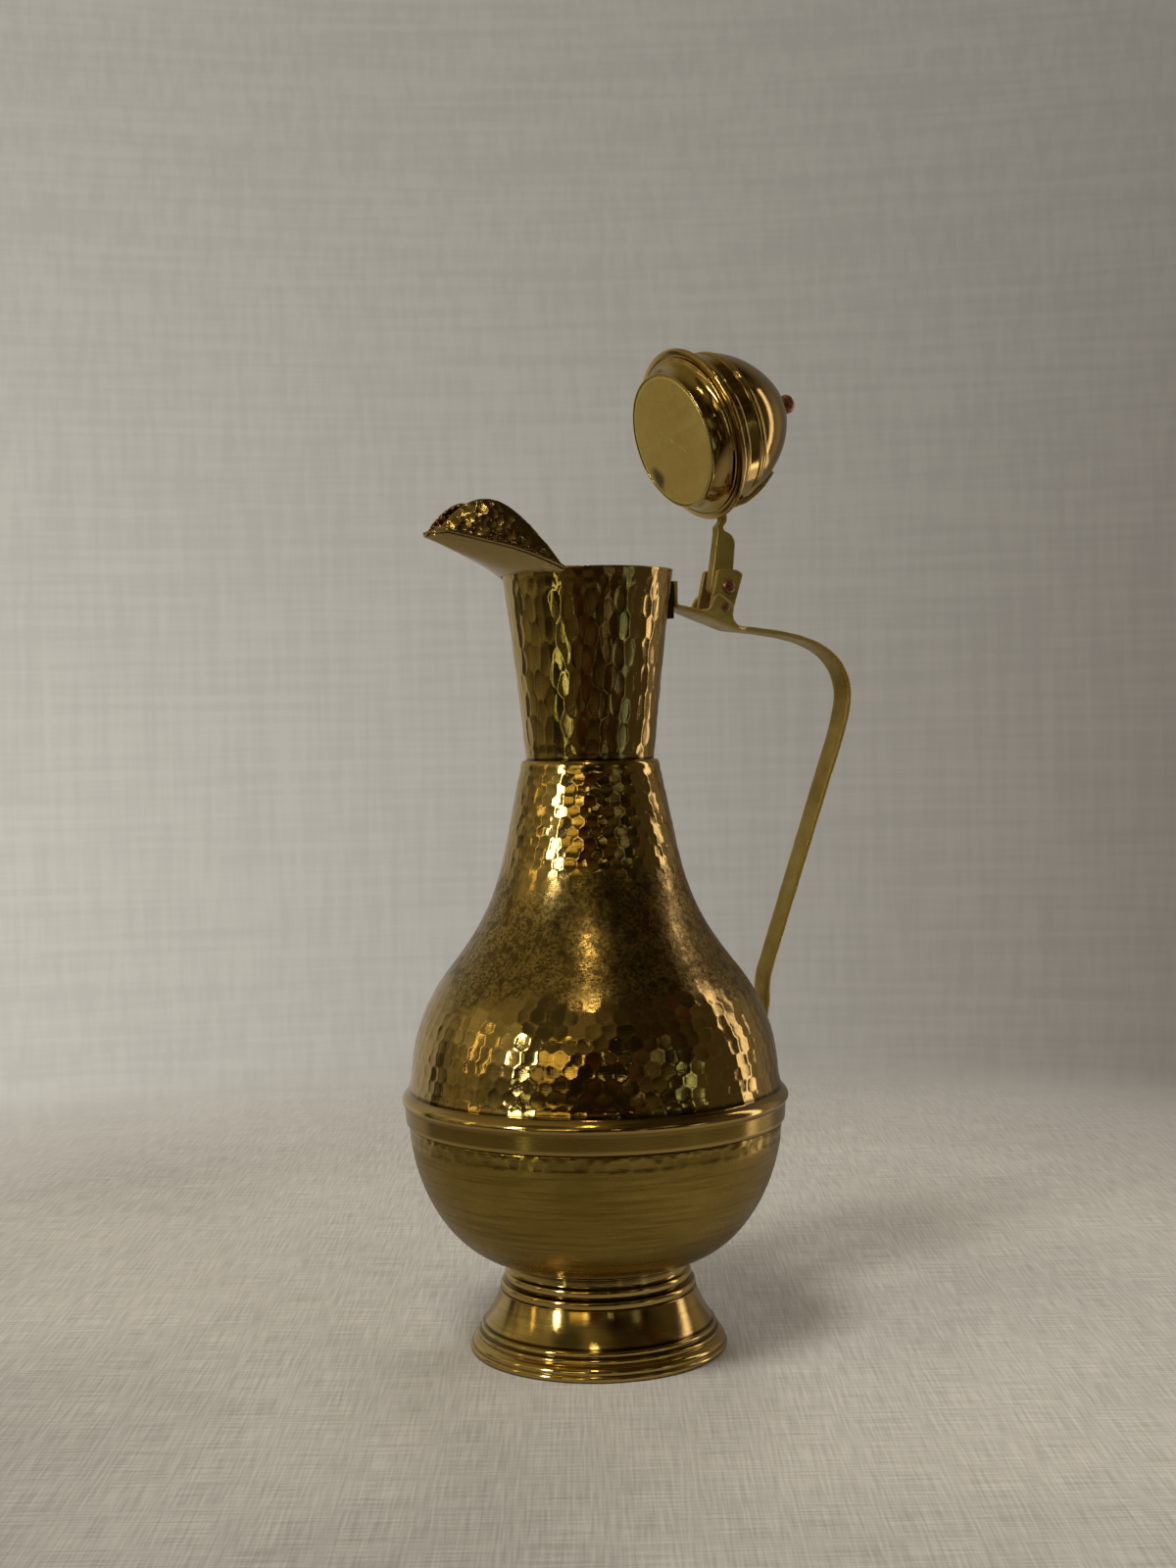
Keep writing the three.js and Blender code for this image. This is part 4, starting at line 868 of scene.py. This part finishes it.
def rivet_rows(radius, head, rise, low, high):
    """Outline of a shank with a domed head at each end. low and high are the heads' flat faces."""
    line = Outline(AXIS, low - rise).quad(head * 0.85, low - rise, head, low - 0.2)
    line.line(head, low).line(radius, low).line(radius, high).line(head, high).line(head, high + 0.2)
    line.quad(head * 0.85, high + rise, AXIS, high + rise)
    return resample(line.array(), 0.12)


def make_rivet(name, node, rows, body, carry, *, columns=40, rough=0.06, seed):
    """A rivet, pin or knob of copper, a little uneven."""
    dent = waves(around(columns), rows[:, 1:] * 14, rough, seed, 9)
    turned(name, [rows], dent, copper, body, node, spread=2, carry=carry)


def along_x(z):
    return lambda p: np.stack([p[:, 2], p[:, 1], z - p[:, 0]], axis=1)


def along_y(x, z):
    return lambda p: np.stack([x + p[:, 0], p[:, 2], z - p[:, 1]], axis=1)


def make_rivets():
    for i, (node, z, wall, tab) in enumerate((
        ("neck_rivet_upper", 264.6, 28.8, NECK_TAB_X), ("neck_rivet_lower", 260.7, 28.25, NECK_TAB_X),
        ("body_rivet_upper", 100.6, 63.5, BODY_TAB_X), ("body_rivet_lower", 94.6, 64.25, BODY_TAB_X),
    )):
        low, high = wall - WALL - TAIL_GAP, tab + STRAP_T / 2 + HEAD_GAP
        rows = rivet_rows(RIVET_R, RIVET_HEAD, RIVET_RISE, low, high)
        make_rivet(node + "_head", node, rows, BODY, along_x(z), seed=60 + i)


def make_hinge():
    half, back, front, low = EAR_SPAN / 2, -6.4, 2.7, 0.3
    ear = Outline(back, low).line(front, low).line(front, 17.6).quad(2.3, 18.5, -0.5, 18.6)
    ear.line(-7.0, 16.4).quad(-7.9, 16.0, -7.8, 15.2).line(back, low)
    outline = on_arm(ear.array()[:-1:2])
    floor = on_arm(((back, low), (front, low), (front, low + EAR_T), (back, low + EAR_T)))
    parts = [
        prism(outline, -half, -half + EAR_T),
        prism(outline, half - EAR_T, half),
        prism(floor, -half + 0.2, half - 0.2),
    ]
    forged("hinge_bracket_folded", parts, 0.26, 4, BODY, "hinge_bracket")
    pin = rivet_rows(1.7, 2.55, 1.4, -half - HEAD_GAP, half + HEAD_GAP)
    pin_way, cross_way = along_y(*PIN), along_y(*on_arm([(-2, 3.9)])[0])
    make_rivet("hinge_pin_peened", "hinge_pin", pin, BODY, pin_way, columns=48, rough=0.12, seed=71)
    half = CRADLE / 2 + HEAD_GAP
    cross = rivet_rows(RIVET_R, 1.6, 1.0, -half, half)
    make_rivet("bracket_rivet_peened", "bracket_rivet", cross, BODY, cross_way, seed=72)


# ---- Lid: heights are over the closed flange ----


def carry_open(points):
    """Points of the closed lid, with heights over its flange, carried to the open pose."""
    points = np.asarray(points, float)
    dx, dz = points[:, 0] - PIN[0], points[:, 2] + LID_SEAT - PIN[1]
    c, s = math.cos(OPEN_ANGLE), math.sin(OPEN_ANGLE)
    return np.stack([PIN[0] + dx * c + dz * s, points[:, 1], PIN[1] - dx * s + dz * c], axis=1)


def dome_line():
    edge = 1.9
    line = Outline(FLANGE_R - 0.8, 0).quad(FLANGE_R + 0.6, edge / 2, FLANGE_R - 0.8, edge)
    line.line(DOME_R + 2.4, edge + 0.4).quad(DOME_R + 0.2, edge + 0.7, DOME_R, edge + 3.4)
    line.bead(DOME_R, 1.3, 0.4).line(DOME_R, 10.8).bead(DOME_R, 1.2, 0.45)
    line.bead(DOME_R - 0.1, 1.3, 0.45).line(DOME_R - 0.4, DOME_SPRING)
    return line.cubic(DOME_R - 2.2, DOME_SPRING + 11.2, 11, DOME_TOP, 1.6, DOME_TOP).array()


def lid_piece(name, runs, dent, material, node, spread):
    turned(name, runs, dent, material, LID, node, spread=spread, carry=carry_open)


def make_lid():
    theta = around(288)
    outer = resample(dome_line(), 0.32)
    crown = lining(outer[outer[:, 1] > DOME_SPRING], 1.1, 2.0)
    bore = DOME_R - 1.1
    inner = np.concatenate([crown, [(bore, DOME_SPRING - 2), (bore, 6.0), (bore, 0.05)]])
    dent = waves(theta, outer[:, 1:] * 2, 0.10, 81) * ramp(outer[:, :1], 0, 6)
    lid_piece("lid_dome_spun", [outer, inner], dent, lid_metal, "lid_dome", 26)

    rim, low, bore = RIM_R - WALL - 0.5, -PLUG_DEPTH, PLUG_R - 1.0
    line = Outline(PLUG_R - 0.5, low).quad(PLUG_R, low, PLUG_R, low + 0.5)
    line.cubic(PLUG_R + 0.2, -4.4, PLUG_R + 1.2, -1.6, rim, -0.75).line(rim, -0.3)
    outer = resample(line.array(), 0.3)
    inner = np.array([(bore, -0.3), (bore, -3.0), (bore, low + 0.1), (bore + 0.1, low)])
    dent = waves(theta, outer[:, 1:] * 5, 0.12, 82, 11)
    lid_piece("lid_plug_ring", [outer, inner], dent, lid_metal, "lid_plug", 24)

    edge, face = bore - 0.06, low + 0.06
    line = Outline(AXIS, face).line(edge - 0.3, face).quad(edge, face, edge, low + 0.4)
    rows = resample(line.line(edge, low + 1.0).line(AXIS, low + 1.0).array(), 0.5)
    under = (rows[:, 1:] < low + 0.1) * ramp(rows[:, :1], edge - 1, edge - 5)
    across, upward = rows[:, :1] * np.cos(theta), rows[:, :1] * np.sin(theta)
    dent = -np.abs(waves(across / 12, upward * 1.5, 0.22, 83, 9)) * under
    lid_piece("lid_plug_disc_matt", [rows], dent, disc_metal, "lid_plug_disc", 24)

    base, top = DOME_TOP + 0.08, DOME_TOP + SEAT + 6.9
    waist, tail, stud = base + 3.0, DOME_TOP - 2.3, 1.5
    line = Outline(AXIS, tail).line(2.4, tail).line(2.4, tail + 0.9).line(stud, tail + 0.9)
    line.line(stud, base).line(3.0, base).quad(3.8, base + 1.3, 2.3, waist)
    line.quad(2.4, waist + 0.6, 3.3, waist + 0.9)
    line.quad(3.9, top - 1.0, 2.6, top - 0.3).quad(1.4, top + 0.02, AXIS, top)
    name, rows = "lid_finial_turned", resample(line.array(), 0.14)
    make_rivet(name, "lid_finial", rows, LID, carry_open, columns=56, rough=0.16, seed=84)


EYE_R, ARM_HALF, STRAP_HALF, SKIN_IN, SKIN_OUT = 5.2, 2.0, 3.5, 0.75, 2.4


def make_tongue():
    """The hinge leaf: an eye on the pin, an arm over the flange and a strap up the dome's back."""
    pin_h = PIN[1] - LID_SEAT
    clear = 2.6
    edge = FLANGE_R + 0.6
    arm = Outline(DOME_R + 2.6, clear).line(edge, clear).quad(edge + 1.0, clear - 0.4, edge + 1.8, -0.2)
    arm.line(edge + 4, -0.9).line(PIN[0] - 2.4, pin_h - 4.6)
    for a in np.radians(np.linspace(-115, 62, 14)):
        arm.points.append(np.array((PIN[0] + EYE_R * math.cos(a), pin_h + EYE_R * math.sin(a))))
    arm.line(PIN[0] - 4.6, pin_h + 6).line(edge + 9.6, clear + 2.4)
    arm.quad(edge + 6.4, clear + 2.8, edge + 4.6, clear)
    arm.quad(edge + 3, clear - 1.6, edge + 2, clear + 0.6)
    arm.quad(edge + 1, clear + 2.2, edge - 1.4, clear + 2.2).line(DOME_R + 2.6, clear + 2.4)
    dome = dome_line()
    heights = np.linspace(clear + 1.6, 27, 14)[1:]
    flank = [(min(np.interp(h, dome[:, 1], dome[:, 0]), DOME_R), h) for h in heights]
    inside = np.array([(DOME_R + 2.3, clear), (DOME_R, clear + 2.6)] + flank)
    low, high = (inside + normals(inside) * gap for gap in (SKIN_IN, SKIN_OUT))
    low[0, 1] = high[0, 1] = clear
    parts = []
    strap = np.concatenate([low, high[::-1]])
    for outline, half in ((arm.array(), ARM_HALF), (strap, STRAP_HALF)):
        points, faces = prism(outline, -half, half)
        parts.append((carry_open(points), faces))
    forged("lid_tongue_forged", parts, 0.26, 5, LID, "lid_tongue")


# ---- Floor, light and background ----

FLOOR_RADIUS, FLOOR_DROP = 1.9, 0.0002


def make_floor():
    """A pale cloth that fades into the background with distance from the ewer, with painted shade at
    the front left and in reflections.
    """
    mesh = bpy.data.meshes.new("floor")
    shape = bmesh.new()
    bmesh.ops.create_circle(shape, cap_ends=True, segments=96, radius=FLOOR_RADIUS)
    shape.to_mesh(mesh)
    shape.free()
    floor = new_object("floor", mesh)
    floor.location.z = -FLOOR_DROP
    floor.rotation_euler.z = -AZIMUTH
    material, n, shader = new_material("pale cloth")
    shader.inputs["Roughness"].default_value = 0.95
    shader.inputs["Specular IOR Level"].default_value = 0.1
    solid = n.add("ShaderNodeTexCoord").outputs["Object"]
    along = n.noise(solid, (40.0, 1100.0, 1.0), 3.0)
    across = n.noise(solid, (1100.0, 40.0, 1.0), 3.0)
    weave = n.blend(along, across, 0.5)
    tone = n.blend(weave, n.noise(solid, 5.0, 3.0), 0.75)
    colour = n.mix(n.spread(tone, 0.40, 0.60), (0.44, 0.42, 0.385), (0.68, 0.645, 0.59))
    # Painted shade: the cloth is darker towards the front left.
    front = n.measure("DOT_PRODUCT", solid, (-0.5, -0.87, 0))
    colour = n.mix(n.spread(front, 0.04, 0.32, 0, 0.32), colour, BLACK)
    # Painted shade: where the metal mirrors the cloth, the cloth is darker.
    mirrored = n.add("ShaderNodeLightPath").outputs["Is Glossy Ray"]
    n.link(n.mix(mirrored, colour, n.mix(0.45, colour, BLACK)), shader.inputs["Base Color"])
    n.link(n.bump(weave, 0.25, 0.3 * MM), shader.inputs["Normal"])
    far = n.plus(n.measure("LENGTH", solid), n.times(mirrored, 0.12))
    clear = n.add("ShaderNodeBsdfTransparent")
    fade = n.add("ShaderNodeMixShader")
    n.fill(fade.inputs, (n.spread(far, 0.34, 0.62), shader.outputs[0], clear.outputs[0]))
    n.link(fade.outputs[0], n.tree.nodes["Material Output"].inputs["Surface"])
    mesh.materials.append(material)


def make_world():
    """A pale backdrop, and for reflections a dim room on the side of the camera."""
    world = bpy.data.worlds.new("studio")
    bpy.context.scene.world = world
    world.use_nodes = True
    n = Nodes(world.node_tree)
    ground = n.tree.nodes["Background"]
    way = n.add("ShaderNodeTexCoord").outputs["Generated"]
    toward = n.measure("DOT_PRODUCT", way, from_view(0, -1, 0))
    right = n.measure("DOT_PRODUCT", way, from_view(1, 0, 0))
    up = n.measure("DOT_PRODUCT", way, (0, 0, 1))

    # The backdrop: lighter at the left, with a horizon and a linen weave.
    cloth = n.mix(n.spread(right, -0.28, 0.28), (0.56, 0.53, 0.46), (0.20, 0.178, 0.15))
    cloth = n.mix(n.spread(up, -0.05, 0.30), cloth, n.mix(0.5, cloth, (0.26, 0.245, 0.21)))
    cloth = n.mix(n.spread(up, -0.45, -0.16, 1, 0), cloth, (0.38, 0.35, 0.29))
    warp = n.noise(way, (240.0, 240.0, 14.0), 2.0)
    weft = n.noise(way, (11.0, 11.0, 260.0), 2.0)
    cloth = n.mix(n.spread(n.plus(warp, weft), 0.80, 1.20, 0, 0.08), cloth, BLACK)

    # The room behind the camera: dark clutter, a shaded strip, and the far right.
    clutter = n.spread(n.noise(way, (3.4, 3.4, 5.78), 2.0, 0.5), 0.48, 0.60)
    dark = n.mix(clutter, (0.010, 0.008, 0.005), (0.070, 0.056, 0.028))
    dark = n.mix(n.spread(n.noise(way, 6.5, 1.0), 0.56, 0.66, 0, 0.8), dark, (0.060, 0.016, 0.005))
    shade = n.between(right, (0.10, 0.28), (0.55, 0.75))
    level = n.math("MAXIMUM", n.spread(up, 0.30, 0.45), n.spread(up, 0.0, 0.12, 1, 0))
    dark = n.mix(n.times(n.times(shade, level), 0.75), dark, (0.008, 0.005, 0.003))
    dark = n.mix(n.spread(right, 0.80, 0.92, 0, 0.8), dark, (0.065, 0.052, 0.028))

    # A curtain at the left, the ceiling, and a dark corner between them.
    side = n.math("SUBTRACT", right, n.times(up, 0.51))
    folds = n.spread(n.noise(way, (11.0, 11.0, 1.2), 2.0, 0.6), 0.40, 0.60, 0.5, 1.1)
    curtain = n.times(n.spread(side, -0.77, -0.95), n.spread(up, 0.12, 0.48, 0.42, 1.15))
    dark = n.mix(n.times(curtain, folds), dark, (0.36, 0.315, 0.18))
    ceiling = n.times(n.spread(up, 0.42, 0.62), n.spread(right, -0.25, 0.2, 1, 0.05))
    dark = n.mix(ceiling, dark, (0.18, 0.145, 0.075))
    corner = n.measure("DOT_PRODUCT", way, from_view(-0.435, -0.557, 0.707))
    dark = n.mix(n.spread(corner, 0.95, 0.985, 0, 0.85), dark, (0.025, 0.025, 0.010))

    # Behind the ewer the metal mirrors the backdrop, dimmer, with a dark edge where it ends.
    behind = n.spread(toward, -0.62, -0.30, 1, 0)
    far = n.mix(n.spread(right, 0.0, 0.6, 0, 0.4), n.mix(0.30, cloth, BLACK), (0.05, 0.035, 0.015))
    far = n.mix(n.spread(right, 0.6, 0.82), far, (0.25, 0.205, 0.15))
    edge = n.between(toward, (-0.52, -0.46), (-0.38, -0.32))
    edge = n.times(edge, n.spread(right, -0.6, -0.4, 0.85, 0))
    edge = n.times(edge, n.spread(up, 0.1, 0.4, 1, 0.2))
    room = n.mix(edge, n.mix(behind, dark, far), (0.012, 0.008, 0.005))
    direct = n.add("ShaderNodeLightPath").outputs["Is Camera Ray"]
    n.link(n.mix(direct, room, cloth), ground.inputs["Color"])


LAMP_DISTANCE, LAMP_AIM = 3.0, (0, 0, 0.13)


def lamp(name, azimuth, elevation, wide, tall, glow, colour, reflected=True):
    """A soft area light. Its place and size are angles, to the right of the view and upwards.

    glow is its brightness as seen in the metal. Lamps that are not reflected light the cloth only.
    """
    width, height = (2 * LAMP_DISTANCE * math.tan(math.radians(angle) / 2) for angle in (wide, tall))
    data = bpy.data.lights.new(name, "AREA")
    data.shape = "RECTANGLE"
    data.size, data.size_y = width, height
    data.energy = glow * math.pi * width * height
    data.color = colour
    a, e = math.radians(azimuth), math.radians(elevation)
    way = from_view(math.cos(e) * math.sin(a), -math.cos(e) * math.cos(a), math.sin(e))
    light = new_object(name, data)
    light.location = Vector(LAMP_AIM) + way * LAMP_DISTANCE
    light.rotation_euler = (-way).to_track_quat("-Z", "Y").to_euler()
    light.visible_camera = False
    light.visible_glossy = reflected


# Name, azimuth, elevation, width, height, glow, colour, and whether the metal mirrors it.
LAMPS = (
    ("window", -49, 17.5, 4.6, 19, 15.0, (1.0, 0.97, 0.86)),
    ("window's lower pane", -43, -12, 1.8, 22, 2.5, (0.92, 1.0, 0.55)),
    ("amber wall", -24, 18, 18, 11, 0.80, (1.0, 0.76, 0.24)),
    ("amber glow", -15, 20, 5, 7, 1.9, (1.0, 0.82, 0.40)),
    ("brown wall", -32, 8, 8, 8, 0.40, (1.0, 0.80, 0.40)),
    ("far lamp", -79, 16, 2.4, 20, 1.8, (1.0, 0.72, 0.28)),
    ("ceiling lamp", -6, 56, 3.6, 3.6, 20.0, (1.0, 0.84, 0.50)),
    ("second ceiling lamp", -7, 63, 3, 2.4, 12.0, (1.0, 0.80, 0.42)),
    ("small lamp", 13, 18, 2, 2, 4.0, (1.0, 0.86, 0.55)),
    ("low lamp", 27, -9, 4, 14, 0.26, (1.0, 0.88, 0.70)),
    ("green panel", 60, 3, 6, 9, 0.9, (0.66, 0.85, 0.62)),
    ("grey panel", 59, -9, 8, 12, 0.34, (0.62, 0.85, 0.90)),
    ("dim panel", 44, 18, 7, 14, 0.22, (0.72, 0.80, 0.58)),
    ("right strip", 107, -2, 9, 84, 1.6, (1.0, 0.88, 0.86)),
    ("low right glow", 118, -27, 28, 24, 0.9, (1.0, 0.88, 0.80)),
    ("key", -28, 62, 13, 13, 25.0, (1.0, 0.97, 0.93), False),
    ("fill", 60, 48, 20, 20, 3.2, (1.0, 0.95, 0.88), False),
    ("back", 170, 55, 20, 20, 5.0, (1.0, 0.97, 0.92), False),
)


bpy.context.scene.view_settings.view_transform = "Standard"
make_camera()
make_foot()
make_bowl()
make_upper_body()
make_neck()
make_lip()
make_handle()
make_pads()
make_rivets()
make_hinge()
make_lid()
make_tongue()
make_floor()
make_world()
for settings in LAMPS:
    lamp(*settings)
